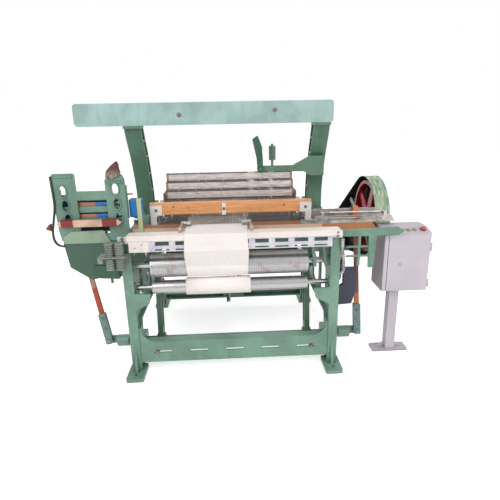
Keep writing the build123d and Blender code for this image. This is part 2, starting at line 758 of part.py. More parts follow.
def crank_arm(side):
    """A rod from the crank pin to the pin boss of one sword. Its front eye stands beside the sword."""
    x = (ARM_INNER, ARM_INNER + ARM_WIDTH)
    pin_y, pin_z = sword_point(SWORD_PIN_HEIGHT)
    big = Pos(CRANK_Y + CRANK_THROW, CRANK_Z) * Circle(CRANK_PIN_RADIUS + 17)
    small = Pos(pin_y, pin_z) * Circle(24)
    shank_big = Pos(CRANK_Y + CRANK_THROW, CRANK_Z) * Circle(18)
    shank_small = Pos(pin_y, pin_z) * Circle(14)
    shank = make_hull([*shank_big.edges(), *shank_small.edges()])
    arm = side_plate(shank, (x[0] + 8, x[1] - 8))
    arm += side_plate(big, x) + side_plate(small, x)
    arm -= rod_x((x[0] - 1, x[1] + 1), CRANK_Y + CRANK_THROW, CRANK_Z, CRANK_PIN_RADIUS + RUNNING_FIT)
    return arm if side > 0 else mirrored(arm)


def drive_wheel():
    """A spoked belt wheel: grooved rim, tapered spokes and a hub."""
    x = (WHEEL_X - WHEEL_WIDTH / 2, WHEEL_X + WHEEL_WIDTH / 2)
    place = (CRANK_Y, CRANK_Z)
    rim_inside = WHEEL_RADIUS - 26
    wheel = tube_x(x, *place, WHEEL_RADIUS, rim_inside)
    groove = (WHEEL_X - BELT_WIDTH / 2 - 1, WHEEL_X + BELT_WIDTH / 2 + 1)
    wheel -= tube_x(groove, *place, WHEEL_RADIUS + 1, WHEEL_RADIUS - GROOVE_DEPTH)
    hub_radius = CRANK_RADIUS + 24
    wheel += rod_x((x[0] - 8, x[1]), *place, hub_radius)
    for index in range(WHEEL_SPOKES):
        spoke = flat([(-44, 0), (44, 0), (26, rim_inside + 6), (-26, rim_inside + 6)])
        turned = Pos(*place) * Rot(0, 0, 360 * index / WHEEL_SPOKES + 20) * spoke
        wheel += side_plate(turned, (WHEEL_X - 9, WHEEL_X + 9))
    return wheel - rod_x((x[0] - 9, x[1] + 1), *place, CRANK_RADIUS + BUSH_SEAT)


def belt_hull(big, small):
    """The outline round the wheel and the motor pulley at the given radii."""
    wheel = Pos(CRANK_Y, CRANK_Z) * Circle(big)
    pulley = Pos(MOTOR_Y, MOTOR_Z) * Circle(small)
    return make_hull([*wheel.edges(), *pulley.edges()])


def drive_belt():
    big = WHEEL_RADIUS - GROOVE_DEPTH + SIDE_GAP
    small = PULLEY_RADIUS - GROOVE_DEPTH + SIDE_GAP
    x = (WHEEL_X - BELT_WIDTH / 2, WHEEL_X + BELT_WIDTH / 2)
    outer = side_plate(belt_hull(big + BELT_THICKNESS, small + BELT_THICKNESS), x)
    return outer - side_plate(belt_hull(big, small), (x[0] - 1, x[1] + 1))


def guard_span():
    wall = CRANK_RIGHT_END + 8
    return (wall + GUARD_SHEET - GUARD_WIDTH, wall + GUARD_SHEET)


def drive_guard():
    """A sheet housing over wheel, belt and pulley, closed outside and open towards the loom."""
    x = guard_span()
    shell = side_plate(belt_hull(GUARD_RADIUS, GUARD_TAIL_RADIUS), x)
    inside = belt_hull(GUARD_RADIUS - GUARD_SHEET, GUARD_TAIL_RADIUS - GUARD_SHEET)
    return shell - side_plate(inside, (x[0] - 1, x[1] - GUARD_SHEET))


def drive_bracket():
    """The outer bearing sleeve on the right frame, with three arms that hold the guard."""
    x = (FRAME_OUTER + 6, guard_span()[0] - SIDE_GAP)
    place = (CRANK_Y, CRANK_Z)
    sleeve_inside = CRANK_RADIUS + RUNNING_FIT
    bracket = rod_x(x, *place, 46)
    bracket += rod_x((x[0], x[0] + 14), *place, 78)
    guard_edge = GUARD_RADIUS
    for angle in (-75, -140, 15):
        arm = flat([(0, -20), (guard_edge, -14), (guard_edge, 14), (0, 20)])
        turned = Pos(*place) * Rot(0, 0, angle) * arm
        bracket += side_plate(turned, (x[1] - 12, x[1]))
    return bracket - rod_x((x[0] - 1, x[1] + 1), *place, sleeve_inside)


def motor_bracket():
    """A shelf bolted to the right rear leg, with a gusset at its outer edge."""
    top = MOTOR_Z - MOTOR_RADIUS - 14
    x = (FRAME_OUTER, MOTOR_RIGHT)
    shelf = block(x, (BACK_Y - 70, MOTOR_Y + MOTOR_RADIUS), (top - 14, top))
    plate = block((FRAME_OUTER, FRAME_OUTER + 14), (BACK_Y - 84, BACK_Y), (top - 120, top + 60))
    gusset = flat([(BACK_Y - 70, top - 14), (MOTOR_Y + 60, top - 14), (BACK_Y, top - 120), (BACK_Y - 70, top - 120)])
    return shelf + plate + side_plate(gusset, (FRAME_OUTER, FRAME_OUTER + 14))


def motor():
    """A finned motor on two feet, with a terminal box on top."""
    x = (MOTOR_RIGHT - MOTOR_LENGTH, MOTOR_RIGHT - 12)
    body = rod_x(x, MOTOR_Y, MOTOR_Z, MOTOR_RADIUS - 10)
    for index in range(20):
        fin = block(x, (MOTOR_Y - 2.5, MOTOR_Y + 2.5), (MOTOR_Z, MOTOR_Z + MOTOR_RADIUS))
        fin = fin.rotate(Axis((0, MOTOR_Y, MOTOR_Z), (1, 0, 0)), 18 * index + 9)
        body += fin
    body += rod_x((x[1], MOTOR_RIGHT), MOTOR_Y, MOTOR_Z, MOTOR_RADIUS - 4)
    body += rod_x((x[0] - 50, x[0]), MOTOR_Y, MOTOR_Z, MOTOR_RADIUS - 4)
    low = MOTOR_Z - MOTOR_RADIUS - 14
    for foot_x in (x[0] + 30, x[1] - 50):
        body += block((foot_x, foot_x + 24), (MOTOR_Y - 74, MOTOR_Y + 74), (low, low + 50))
    top = MOTOR_Z + MOTOR_RADIUS
    middle = (x[0] + x[1]) / 2
    return body + block((middle - 45, middle + 45), (MOTOR_Y - 40, MOTOR_Y + 40), (top - 30, top + 34))


def motor_pulley():
    """The grooved pulley with its shaft end."""
    x = (WHEEL_X - 20, WHEEL_X + 20)
    pulley = rod_x(x, MOTOR_Y, MOTOR_Z, PULLEY_RADIUS)
    groove = (WHEEL_X - BELT_WIDTH / 2 - 1, WHEEL_X + BELT_WIDTH / 2 + 1)
    pulley -= tube_x(groove, MOTOR_Y, MOTOR_Z, PULLEY_RADIUS + 1, PULLEY_RADIUS - GROOVE_DEPTH)
    return pulley + rod_x((MOTOR_RIGHT + SIDE_GAP, x[0]), MOTOR_Y, MOTOR_Z, 14)


# Lay

def sword_point(height, across=0.0):
    """A point (Y, Z) at a height along the leaning sword and a distance behind its centre line."""
    lean = math.radians(LAY_LEAN)
    y = ROCK_Y + height * math.sin(lean) + across * math.cos(lean)
    z = ROCK_Z + height * math.cos(lean) - across * math.sin(lean)
    return y, z


def lean_y(z):
    """Y of the lay's centre line at a height above the floor."""
    return ROCK_Y + (z - ROCK_Z) * math.tan(math.radians(LAY_LEAN))


def rocking_shaft():
    return rod_x((-ROCK_HALF_LENGTH, ROCK_HALF_LENGTH), ROCK_Y, ROCK_Z, ROCK_RADIUS)


def lay_sword():
    """The right sword: a tapered arm with a clamped hub, a pin boss and a head under the race board."""
    x = (SWORD_X - SWORD_THICKNESS / 2, SWORD_X + SWORD_THICKNESS / 2)
    foot_half = SWORD_FOOT_WIDTH / 2
    top_half = SWORD_TOP_WIDTH / 2
    top_y = lean_y(RACE_BOTTOM)
    corners = [
        sword_point(0, -foot_half),
        (top_y - top_half, RACE_BOTTOM),
        (top_y + top_half, RACE_BOTTOM),
        sword_point(0, foot_half),
    ]
    sword = side_plate(flat(corners), x)
    recess_corners = [
        sword_point(90, -foot_half + 16),
        sword_point(SWORD_PIN_HEIGHT - 70, -top_half + 12),
        sword_point(SWORD_PIN_HEIGHT - 70, top_half - 12),
        sword_point(90, foot_half - 16),
    ]
    recess = flat(recess_corners, 8)
    sword -= side_plate(recess, (x[0] - 1, x[0] + 12))
    sword -= side_plate(recess, (x[1] - 12, x[1] + 1))
    hub = (x[0] - 10, x[1] + 10)
    sword += rod_x(hub, ROCK_Y, ROCK_Z, ROCK_RADIUS + 20)
    pin_y, pin_z = sword_point(SWORD_PIN_HEIGHT)
    sword += rod_x((x[0], ARM_INNER - SIDE_GAP), pin_y, pin_z, 22)
    head = (RACE_FRONT + 8, RACE_BACK - 8)
    sword += block((x[0] - 14, x[1] + 14), head, (RACE_BOTTOM - 14, RACE_BOTTOM))
    return sword - rod_x((hub[0] - 1, hub[1] + 1), ROCK_Y, ROCK_Z, ROCK_RADIUS + BUSH_SEAT)


def lay_swords():
    right = lay_sword()
    return group([right, mirrored(right)])


def stick_slot_y():
    """The front and back of the slot that the leaning picking stick works in."""
    front = lean_y(RACE_BOTTOM) - STICK_SLOT / 2
    back = lean_y(RACE_TOP + RIGHT_BOX_HEIGHT) + STICK_SLOT / 2
    return (front, back)


def race_board():
    """The wooden sley under the reed. At the right it forks round the picking stick's slot."""
    board = block((RACE_LEFT, RACE_RIGHT), (RACE_FRONT, RACE_BACK), (RACE_BOTTOM, RACE_TOP))
    slot = stick_slot_y()
    board -= block((RIGHT_BOX_LEFT + 15, RACE_RIGHT + 1), slot, (RACE_BOTTOM - 1, RACE_TOP + 1))
    beyond = RACE_RIGHT + 1
    corner = flat([(RACE_RIGHT - RACE_END_SLANT, RACE_TOP + 1), (beyond, RACE_TOP + 1), (beyond, RACE_BOTTOM + 10)])
    board -= front_plate(corner, (RACE_FRONT - 1, RACE_BACK + 1))
    groove = (REED_Y - SIDE_GAP, REED_Y + REED_THICKNESS + SIDE_GAP)
    return board - block((REED_LEFT - 6, REED_RIGHT + 6), groove, (RACE_TOP - 12, RACE_TOP + 1))


def reed():
    """Two baulks with the dents between them, cut as even gaps in one wall."""
    low = RACE_TOP - 12
    high = RAIL_BOTTOM + 12
    wall = block((REED_LEFT, REED_RIGHT), (REED_Y, REED_Y + REED_THICKNESS), (low, high))
    pitch = (REED_RIGHT - REED_LEFT - 24) / REED_GAPS
    for index in range(REED_GAPS):
        x = REED_LEFT + 12 + (index + 0.5) * pitch
        wall -= block((x - pitch * 0.36, x + pitch * 0.36), (REED_Y - 1, REED_Y + REED_THICKNESS + 1), (low + 14, high - 14))
    return wall


def rail_ends():
    return (REED_LEFT - RAIL_OVERHANG, REED_RIGHT + RAIL_OVERHANG)


def rail_y():
    middle = REED_Y + REED_THICKNESS / 2
    return (middle - RAIL_THICKNESS / 2, middle + RAIL_THICKNESS / 2)


def hand_rail():
    """The wooden reed cap, grooved below for the reed and rounded along its top edges."""
    y = rail_y()
    top = RAIL_BOTTOM + RAIL_HEIGHT
    section = flat([(y[0], RAIL_BOTTOM), (y[1], RAIL_BOTTOM), (y[1], top), (y[0], top)], 7)
    rail = side_plate(section, rail_ends())
    groove = (REED_Y - SIDE_GAP, REED_Y + REED_THICKNESS + SIDE_GAP)
    return rail - block((REED_LEFT - 1, REED_RIGHT + 1), groove, (RAIL_BOTTOM - 1, RAIL_BOTTOM + 12 + SIDE_GAP))


def rail_posts():
    """Posts from the race board to the rail, and the end plates and centre plate on the rail's front."""
    y = rail_y()
    ends = rail_ends()
    parts = []
    for end, side in ((ends[0], -1), (ends[1], 1)):
        low, high = sorted((end, end - side * RAIL_END_PLATE))
        post_low, post_high = sorted((end, end - side * (RAIL_OVERHANG - 8)))
        post = block((post_low, post_high), (y[0] - 4, y[0] + 12), (RACE_TOP, RAIL_BOTTOM))
        plate = block((low, high), (y[0] - 4, y[0]), (RAIL_BOTTOM, RAIL_BOTTOM + 0.8 * RAIL_HEIGHT))
        plate -= rod_y((low + high) / 2, (y[0] - 5, y[0] + 1), RAIL_BOTTOM + 0.4 * RAIL_HEIGHT, 8)
        parts.append(post + plate)
    centre = (ends[0] + ends[1]) / 2 - 50
    parts.append(block((centre - 13, centre + 13), (y[0] - 4, y[0]), (RAIL_BOTTOM - 6, RAIL_BOTTOM + 0.9 * RAIL_HEIGHT)))
    return group(parts)


# Drop box

def eyelet(x, z):
    """An oval hole in a tower plate with a raised ring round it, as (ring, cut)."""
    y = (TOWER_FRONT, TOWER_FRONT + TOWER_PLATE)
    ring = front_plate(Pos(x, z) * Ellipse(EYE_WIDTH / 2 + EYE_RIM, EYE_HEIGHT / 2 + EYE_RIM), (y[0] - 6, y[1]))
    cut = front_plate(Pos(x, z) * Ellipse(EYE_WIDTH / 2, EYE_HEIGHT / 2), (y[0] - 7, y[1] + 1))
    return ring, cut


def tower_plate(corners, holes):
    y = (TOWER_FRONT, TOWER_FRONT + TOWER_PLATE)
    plate = front_plate(flat(corners, 12), y)
    for x, z in holes:
        ring, cut = eyelet(x, z)
        plate = plate + ring - cut
    return plate


def tower_ribs(inner, outer, low, high):
    """Flanges that stand back from both upright edges of a tower plate, and its folded cap."""
    y = (TOWER_FRONT + TOWER_PLATE - 1, CELL_FRONT + 20)
    lip = (TOWER_FRONT - 8, TOWER_FRONT + TOWER_PLATE)
    left, right = sorted((inner, outer))
    cap = block((left + 14, right - 14), lip, (high - 24, high - 14))
    flange_low, flange_high = sorted((outer, outer + (12 if outer < inner else -12)))
    return cap + block((flange_low, flange_high), y, (low, high - 40))


def box_towers():
    """The fixed casting that guides the drop box: two towers, a cross bar, side walls and a sill."""
    left = TOWER_LEFT
    right = RACE_LEFT
    base = RACE_BOTTOM
    inner_left = left + TOWER_WIDTH
    inner_right = right - TOWER_RIGHT_WIDTH
    shoulder = TOWER_TOP - 42
    y = (TOWER_FRONT, TOWER_FRONT + TOWER_PLATE)
    left_corners = [
        (left + 26, base), (inner_left, base), (inner_left, TOWER_TOP),
        (left + 20, TOWER_TOP), (left, TOWER_TOP - 26), (left + 14, RACE_TOP),
    ]
    right_corners = [
        (inner_right, base), (right, base), (right - 4, shoulder), (right - 20, TOWER_TOP - 8),
        (inner_right + 14, shoulder + 6), (inner_right, shoulder),
    ]
    left_holes = [(left + 70 + share * 7, 1192 - share * 90) for share in range(3)]
    right_holes = [(right - 66 + share * 4, 1200 - share * 93) for share in range(3)]
    towers = tower_plate(left_corners, left_holes) + tower_plate(right_corners, right_holes)
    wall = CELL_LEFT - 3
    towers += tower_ribs(inner_left, wall - 12, RACE_TOP, TOWER_TOP)
    towers += tower_ribs(inner_right, right, RACE_TOP + CELL_PITCH, shoulder)
    towers += block((inner_left - 20, inner_right + 20), y, (TOWER_BAR_TOP - TOWER_BAR_HEIGHT, TOWER_BAR_TOP))
    towers += block((left + 26, right), y, (base, base + 46))
    back = CELL_BACK + 6
    towers += block((wall - 12, wall), (y[0], back), (RACE_TOP + 30, TOWER_BAR_TOP))
    return towers + block((right - 12, right), (y[0], RACE_BACK), (base, RACE_TOP))


def drop_box():
    """Three cells, one above the other, on a sliding frame with its lifting rod below."""
    x = (CELL_LEFT, CELL_RIGHT)
    y = (CELL_FRONT, CELL_BACK)
    parts = []
    for level in range(CELL_COUNT + 1):
        top = RACE_TOP + level * CELL_PITCH
        parts.append(block(x, y, (top - CELL_PLATE, top)))
    high = RACE_TOP + CELL_COUNT * CELL_PITCH
    parts.append(block(x, (y[1] - 4, y[1]), (RACE_TOP - CELL_PLATE, high)))
    parts.append(block((x[0], x[0] + 6), y, (RACE_TOP - CELL_PLATE, high)))
    for level in range(1, CELL_COUNT + 1):
        middle = RACE_TOP + level * CELL_PITCH
        parts.append(block(x, (y[0] - 2, y[0] + 1), (middle - CELL_LIP, middle + CELL_LIP / 3)))
    rod_top = RACE_TOP - CELL_PLATE
    return ring_of(parts) + rod_z(BOX_ROD_X, BOX_ROD_Y, (BOX_ROD_LOW, rod_top), BOX_ROD_RADIUS)


def shuttle_shape(x, y, z, height):
    """A boat shape lying along X: flat sided, pointed at both ends, with the yarn well in its top."""
    half = (x[1] - x[0]) / 2
    middle = (x[0] + x[1]) / 2
    plan = [(-half, 0), (-half + 60, -21), (half - 60, -21), (half, 0), (half - 60, 21), (-half + 60, 21)]
    body = top_plate(Pos(middle, y) * flat(plan), (z, z + height))
    well = block((middle - half + 90, middle + half - 90), (y - 12, y + 12), (z + 10, z + height + 1))
    return body - well


def shuttles():
    y = (CELL_FRONT + CELL_BACK) / 2 - 4
    x = (CELL_LEFT + 16, CELL_RIGHT - 20)
    parts = []
    for level in (1, 2):
        floor = RACE_TOP + level * CELL_PITCH
        parts.append(shuttle_shape(x, y, floor, 34))
    return group(parts)


def box_front_bar():
    """The boat-shaped wooden bar across the front of the lowest cell, on a block at its left end."""
    y = (TOWER_FRONT - 30, TOWER_FRONT - 6)
    left = TOWER_LEFT + 14
    right = RACE_LEFT - 40
    middle = RACE_TOP + 60
    half = 22
    face = flat([
        (left, middle), (left + 26, middle + half), (right - 34, middle + half), (right, middle),
        (right - 34, middle - half), (left + 26, middle - half),
    ], 3)
    return front_plate(face, y) + block((left + 20, left + 40), (y[1] - 1, TOWER_FRONT), (middle - 11, middle + 11))


def box_cover():
    """The pale front guard below the cells: a trapezoid sheet."""
    y = (TOWER_FRONT - 8, TOWER_FRONT)
    low = RACE_BOTTOM - 16
    left = TOWER_LEFT + 36
    right = RACE_LEFT - 124
    face = flat([(left, low), (right, low), (right - 44, low + 84), (left + 54, low + 80), (left, low + 44)], 8)
    return front_plate(face, y)


def box_guide():
    """The dark casting below the drop box, with the bore that guides the lifting rod."""
    y = (TOWER_FRONT, TOWER_FRONT + TOWER_PLATE)
    left = TOWER_LEFT + 27
    right = CELL_RIGHT - 8
    top = RACE_BOTTOM
    low = top - 230
    face = flat([(left, top), (right, top), (right - 10, low), (left + 155, low - 40), (left + 25, low + 50)], 14)
    guide = front_plate(face, y)
    guide += rod_z(BOX_ROD_X, BOX_ROD_Y, (low, low + 60), BOX_ROD_RADIUS + 10)
    guide += block((BOX_ROD_X - 8, BOX_ROD_X + 8), (y[0], BOX_ROD_Y), (low, low + 60))
    hole = rod_z(BOX_ROD_X, BOX_ROD_Y, (low - 100, top), BOX_ROD_RADIUS + RUNNING_FIT)
    return guide - hole


def box_buffer():
    """The blue block beside the right tower, and the pale upright strap that holds it to the race board."""
    right = RACE_LEFT + 80
    low = RACE_TOP + CELL_PITCH
    buffer = block((RACE_LEFT, right), (RACE_FRONT, RACE_FRONT + 70), (low, low + 118))
    strap = block((right - 28, right), (RACE_FRONT - 8, RACE_FRONT), (RACE_BOTTOM + 6, low + 126))
    return group([fillet(buffer.edges(), 8), strap])


# Shuttle box at the right

def shuttle_box_right():
    """Steel rails and walls that hold the shuttle, with a slot in the floor for the picking stick."""
    x = (RIGHT_BOX_LEFT, RIGHT_BOX_RIGHT)
    floor = (RACE_TOP, RACE_TOP + 6)
    slot = stick_slot_y()
    box = block(x, (RACE_FRONT, RACE_BACK), floor)
    box -= block((x[0] + 15, STICK_RIGHT_X + 6), slot, (floor[0] - 1, floor[1] + 1))
    front = (RACE_FRONT, RACE_FRONT + 10)
    rear = (RACE_BACK, RACE_BACK + 8)
    top = RACE_TOP + RIGHT_BOX_HEIGHT
    front_top = top - 24
    front_face = flat([(x[0], floor[0]), (x[1], floor[0]), (x[1] - 30, front_top), (x[0], front_top)])
    rear_face = flat([(x[0], RACE_TOP - 20), (x[1], RACE_TOP - 20), (x[1] - 60, top), (x[0], top)])
    box += front_plate(front_face, front) + front_plate(rear_face, rear)
    box += block((x[0] - RIGHT_BOX_LEAD, x[0] + 1), front, (RACE_TOP, RACE_TOP + 28))
    for low in (floor[1] + 14, floor[1] + 32):
        box -= block((x[0] + 90, x[1] - 90), (front[0] - 1, front[1] + 1), (low, low + 7))
    rod_y_place = RACE_FRONT + 40
    box += rod_x((x[0] + 40, x[1] - 60), rod_y_place, top - 10, 7)
    for post in (x[0] + 40, x[1] - 80):
        box += block((post, post + 20), (front[0], rod_y_place + 6), (front_top - 2, top - 2))
    return box


# Picking sticks

def stick_at(x, splay, face, y_low, y_high):
    """A face drawn upright about the stick's pivot, splayed sideways and leaned back with the lay."""
    solid = front_plate(face, (y_low, y_high))
    solid = solid.rotate(Axis((0, 0, 0), (0, 1, 0)), -splay)
    solid = solid.rotate(Axis((0, 0, 0), (1, 0, 0)), -LAY_LEAN)
    return Pos(x, ROCK_Y, ROCK_Z) * solid


def picking_stick(x, splay):
    """A flat wooden stick in its cast shoe, tapering to the picker end."""
    half = STICK_WIDTH / 2
    depth = STICK_THICKNESS / 2
    taper = flat([(-half, 60), (half, 60), (half * 0.7, STICK_LENGTH), (-half * 0.7, STICK_LENGTH)])
    return stick_at(x, splay, taper, -depth, depth)


def stick_shoe(x, splay):
    """The cast shoe that grips the stick's foot, with its pivot eye."""
    half = STICK_WIDTH / 2
    depth = STICK_THICKNESS / 2
    outer = flat([(-half - 7, -20), (half + 7, -20), (half + 7, 205), (-half - 7, 205)], 9)
    shoe = stick_at(x, splay, outer, -depth - 7, depth + 7)
    socket = flat([(-half - 0.02, 60), (half + 0.02, 60), (half + 0.02, 260), (-half - 0.02, 260)])
    shoe -= stick_at(x, splay, socket, -depth - 0.02, depth + 0.02)
    return shoe - stick_at(x, splay, Circle(12 + RUNNING_FIT), -60, 60)


def picker(x, splay):
    """The leather cap on the stick's end that strikes the shuttle."""
    half = STICK_WIDTH / 2
    depth = STICK_THICKNESS / 2 + 3
    low = STICK_LENGTH - 76
    cap = stick_at(x, splay, flat([(-half, low), (half, low), (half, STICK_LENGTH + 6), (-half, STICK_LENGTH + 6)], 4), -depth, depth)
    taper = flat([(-half - 0.02, 60), (half + 0.02, 60), (half * 0.7 + 0.02, STICK_LENGTH), (-half * 0.7 - 0.02, STICK_LENGTH)])
    return cap - stick_at(x, splay, taper, -STICK_THICKNESS / 2 - 0.02, STICK_THICKNESS / 2 + 0.02)


def stick_foot(x):
    """The clamp on the rocking shaft's end, with the stick's pivot pin in front."""
    side = 1 if x > 0 else -1
    hub_low, hub_high = sorted((side * (FRAME_OUTER + 62), side * ROCK_HALF_LENGTH))
    foot = rod_x((hub_low, hub_high), ROCK_Y, ROCK_Z, ROCK_RADIUS + 18)
    arm_y = STICK_THICKNESS / 2 + 7 + SIDE_GAP
    reach = side * (abs(x) - ROCK_HALF_LENGTH + 30)
    arm = flat([(0, -26), (-reach, -26), (-reach, 26), (0, 26)]) + Circle(26)
    foot += stick_at(x, 0, arm, arm_y, arm_y + 22)
    foot += stick_at(x, 0, Circle(12), -STICK_THICKNESS / 2 - 14, arm_y + 10)
    shaft_hole = rod_x((hub_low - 1, hub_high + 1), ROCK_Y, ROCK_Z, ROCK_RADIUS + BUSH_SEAT)
    return foot - shaft_hole


def stick_feet():
    return group([stick_foot(STICK_LEFT_X), stick_foot(STICK_RIGHT_X)])


# Rollers and cloth

def roller_ends(y, z, left, right, right_end):
    """Journals at both ends of a roller, reaching through the side frames."""
    return rod_x((-FRAME_OUTER, left), y, z, JOURNAL_RADIUS) + rod_x((right, right_end), y, z, JOURNAL_RADIUS)


def sand_roller():
    roller = rod_x((SAND_LEFT, SAND_RIGHT), SAND_Y, SAND_Z, SAND_RADIUS)
    roller -= tube_x((SAND_LEFT - 1, SAND_LEFT + 10), SAND_Y, SAND_Z, SAND_RADIUS - 12, 40)
    roller -= tube_x((SAND_RIGHT - 10, SAND_RIGHT + 1), SAND_Y, SAND_Z, SAND_RADIUS - 12, 40)
    return roller + roller_ends(SAND_Y, SAND_Z, SAND_LEFT, SAND_RIGHT, TAKE_UP_X[1] + 6)


def sand_gear():
    bore = JOURNAL_RADIUS + BUSH_SEAT
    return gear(TAKE_UP_MODULE, SAND_GEAR_TEETH, CHANGE_ANGLE, TAKE_UP_X, SAND_Y, SAND_Z, bore)


def change_place():
    distance = TAKE_UP_MODULE * (SAND_GEAR_TEETH + CHANGE_GEAR_TEETH) / 2
    turn = math.radians(CHANGE_ANGLE)
    return SAND_Y + distance * math.cos(turn), SAND_Z + distance * math.sin(turn)


def change_gear():
    """The change gear with its ratchet wheel, both on the take-up stud."""
    place = change_place()
    bore = STUD_RADIUS + RUNNING_FIT
    half_tooth = 180 / CHANGE_GEAR_TEETH
    wheel = gear(TAKE_UP_MODULE, CHANGE_GEAR_TEETH, CHANGE_ANGLE + 180 + half_tooth, TAKE_UP_X, *place, bore)
    ratchet = (TAKE_UP_X[1], TAKE_UP_X[1] + 10)
    points = []
    for index in range(RATCHET_TEETH):
        low = 2 * math.pi * index / RATCHET_TEETH
        high = 2 * math.pi * (index + 0.93) / RATCHET_TEETH
        points.append((RATCHET_ROOT * math.cos(low), RATCHET_ROOT * math.sin(low)))
        points.append((RATCHET_TIP * math.cos(high), RATCHET_TIP * math.sin(high)))
    wheel += side_plate(Pos(*place) * flat(points), ratchet)
    return wheel - rod_x((TAKE_UP_X[0] - 1, ratchet[1] + 1), *place, bore)


def pawl_place():
    y, z = change_place()
    return y + 92, z + 52


def take_up_studs():
    """The stud of the change gear and the stud of the pawl, both on the right frame's web."""
    parts = []
    face = FRAME_X + FRAME_WEB / 2
    for (y, z), end in ((change_place(), TAKE_UP_X[1] + 14), (pawl_place(), TAKE_UP_X[1] + 12)):
        collar = TAKE_UP_X[0] - SIDE_GAP
        shoulder = rod_x((face, collar), y, z, 18)
        parts.append(shoulder + rod_x((collar, end), y, z, STUD_RADIUS))
    return group(parts)


def take_up_pawl():
    """A pawl that drops into the ratchet wheel by its own weight."""
    y, z = pawl_place()
    centre_y, centre_z = change_place()
    turn = math.radians(62)
    tip_y = centre_y + (RATCHET_TIP + 1) * math.cos(turn)
    tip_z = centre_z + (RATCHET_TIP + 1) * math.sin(turn)
    face = flat([(y, z + 14), (y, z - 14), (tip_y + 4, tip_z + 1), (tip_y, tip_z + 8)])
    pawl = side_plate(face, (TAKE_UP_X[1], TAKE_UP_X[1] + 10))
    pawl += rod_x((TAKE_UP_X[1] - 8, TAKE_UP_X[1] + 10), y, z, 17)
    return pawl - rod_x((TAKE_UP_X[0], TAKE_UP_X[1] + 12), y, z, STUD_RADIUS + RUNNING_FIT)


def cloth_roller():
    roller = rod_x((SAND_LEFT, SAND_RIGHT), CLOTH_ROLL_Y, CLOTH_ROLL_Z, CLOTH_ROLLER_RADIUS)
    return roller + roller_ends(CLOTH_ROLL_Y, CLOTH_ROLL_Z, SAND_LEFT, SAND_RIGHT, FRAME_OUTER)


def cloth_roll():
    """The woven cloth wound on its roller."""
    span = (CLOTH_LEFT - 12, CLOTH_RIGHT + 14)
    return tube_x(span, CLOTH_ROLL_Y, CLOTH_ROLL_Z, CLOTH_ROLL_RADIUS, CLOTH_ROLLER_RADIUS + BUSH_SEAT)


def cloth_web():
    """The cloth from the fell over the breast beam and round the front of the sand roller to the nip."""
    span = (CLOTH_LEFT, CLOTH_RIGHT)
    low = BREAST_TOP + COVER_SHEET + SOFT_GAP
    high = low + CLOTH_THICKNESS
    inner = FRONT_Y - 30 - COVER_SHEET - SOFT_GAP
    edge = 8.0
    turn_y = inner + edge
    turn_z = BREAST_BOTTOM
    top = block(span, (inner - CLOTH_THICKNESS, FELL_Y), (low, high))
    front = block(span, (inner - CLOTH_THICKNESS, inner), (turn_z, high))
    corner = Pos(turn_y, turn_z) * Circle(edge)
    corner_out = Pos(turn_y, turn_z) * Circle(edge + CLOTH_THICKNESS)
    roller = Pos(SAND_Y, SAND_Z) * Circle(SAND_RADIUS + SOFT_GAP)
    roller_out = Pos(SAND_Y, SAND_Z) * Circle(SAND_RADIUS + SOFT_GAP + CLOTH_THICKNESS)
    band = make_hull([*corner_out.edges(), *roller_out.edges()]) - make_hull([*corner.edges(), *roller.edges()])
    below = SAND_Z - SAND_RADIUS - 20
    keep = flat([(turn_y, turn_z), (SAND_Y, SAND_Z), (SAND_Y, below), (turn_y - 60, below), (turn_y - 60, turn_z)])
    return top + front + side_plate(band & keep, span)


def temple(x, side):
    """A temple: a spiked roller in a cap at the cloth's edge, on an arm from the breast beam."""
    y = FELL_Y - 38
    low, high = sorted((x - side * 46, x + side * 16))
    z = BREAST_TOP + COVER_SHEET + SOFT_GAP + CLOTH_THICKNESS + 17
    head = rod_x((low, high), y, z, 15)
    arm_x = x + side * 8
    back = FRONT_Y - 30 + BREAST_DEPTH
    arm = block((arm_x - 7, arm_x + 7), (back - 34, y), (z - 4, z + 8))
    pad_low = BREAST_TOP + COVER_SHEET
    pad = block((arm_x + side * 2 - 9, arm_x + side * 2 + 9), (back - 34, back - 4), (pad_low, z + 8))
    return head + arm + pad


def temples():
    return group([temple(CLOTH_LEFT - 14, -1), temple(CLOTH_RIGHT + 14, 1)])


# Warp

def warp_beam():
    barrel = rod_x((-FRAME_INNER + 20, FRAME_INNER - 20), WARP_BEAM_Y, WARP_BEAM_Z, WARP_BARREL_RADIUS)
    for side in (-1, 1):
        low, high = sorted((side * (FRAME_INNER - 21), side * (FRAME_OUTER - 4)))
        barrel += rod_x((low, high), WARP_BEAM_Y, WARP_BEAM_Z, JOURNAL_RADIUS)
    return barrel


def beam_flanges():
    """The two flanges clamped on the warp beam, each ribbed on its outer face."""
    bore = WARP_BARREL_RADIUS + BUSH_SEAT
    parts = []
    for x, side in ((CLOTH_LEFT - 16, -1), (CLOTH_RIGHT + 18, 1)):
        inner, outer = sorted((x, x + side * 12))
        flange = tube_x((inner, outer), WARP_BEAM_Y, WARP_BEAM_Z, WARP_FLANGE_RADIUS, bore)
        hub_low, hub_high = sorted((x + side * 12, x + side * 44))
        flange += tube_x((hub_low, hub_high), WARP_BEAM_Y, WARP_BEAM_Z, WARP_BARREL_RADIUS + 16, bore)
        for index in range(6):
            rib = flat([(WARP_BARREL_RADIUS + 10, -5), (WARP_FLANGE_RADIUS - 4, -5), (WARP_FLANGE_RADIUS - 4, 5), (WARP_BARREL_RADIUS + 10, 5)])
            rib_low, rib_high = sorted((x + side * 11, x + side * 24))
            flange += side_plate(Pos(WARP_BEAM_Y, WARP_BEAM_Z) * Rot(0, 0, 60 * index) * rib, (rib_low, rib_high))
        parts.append(flange)
    return group(parts)


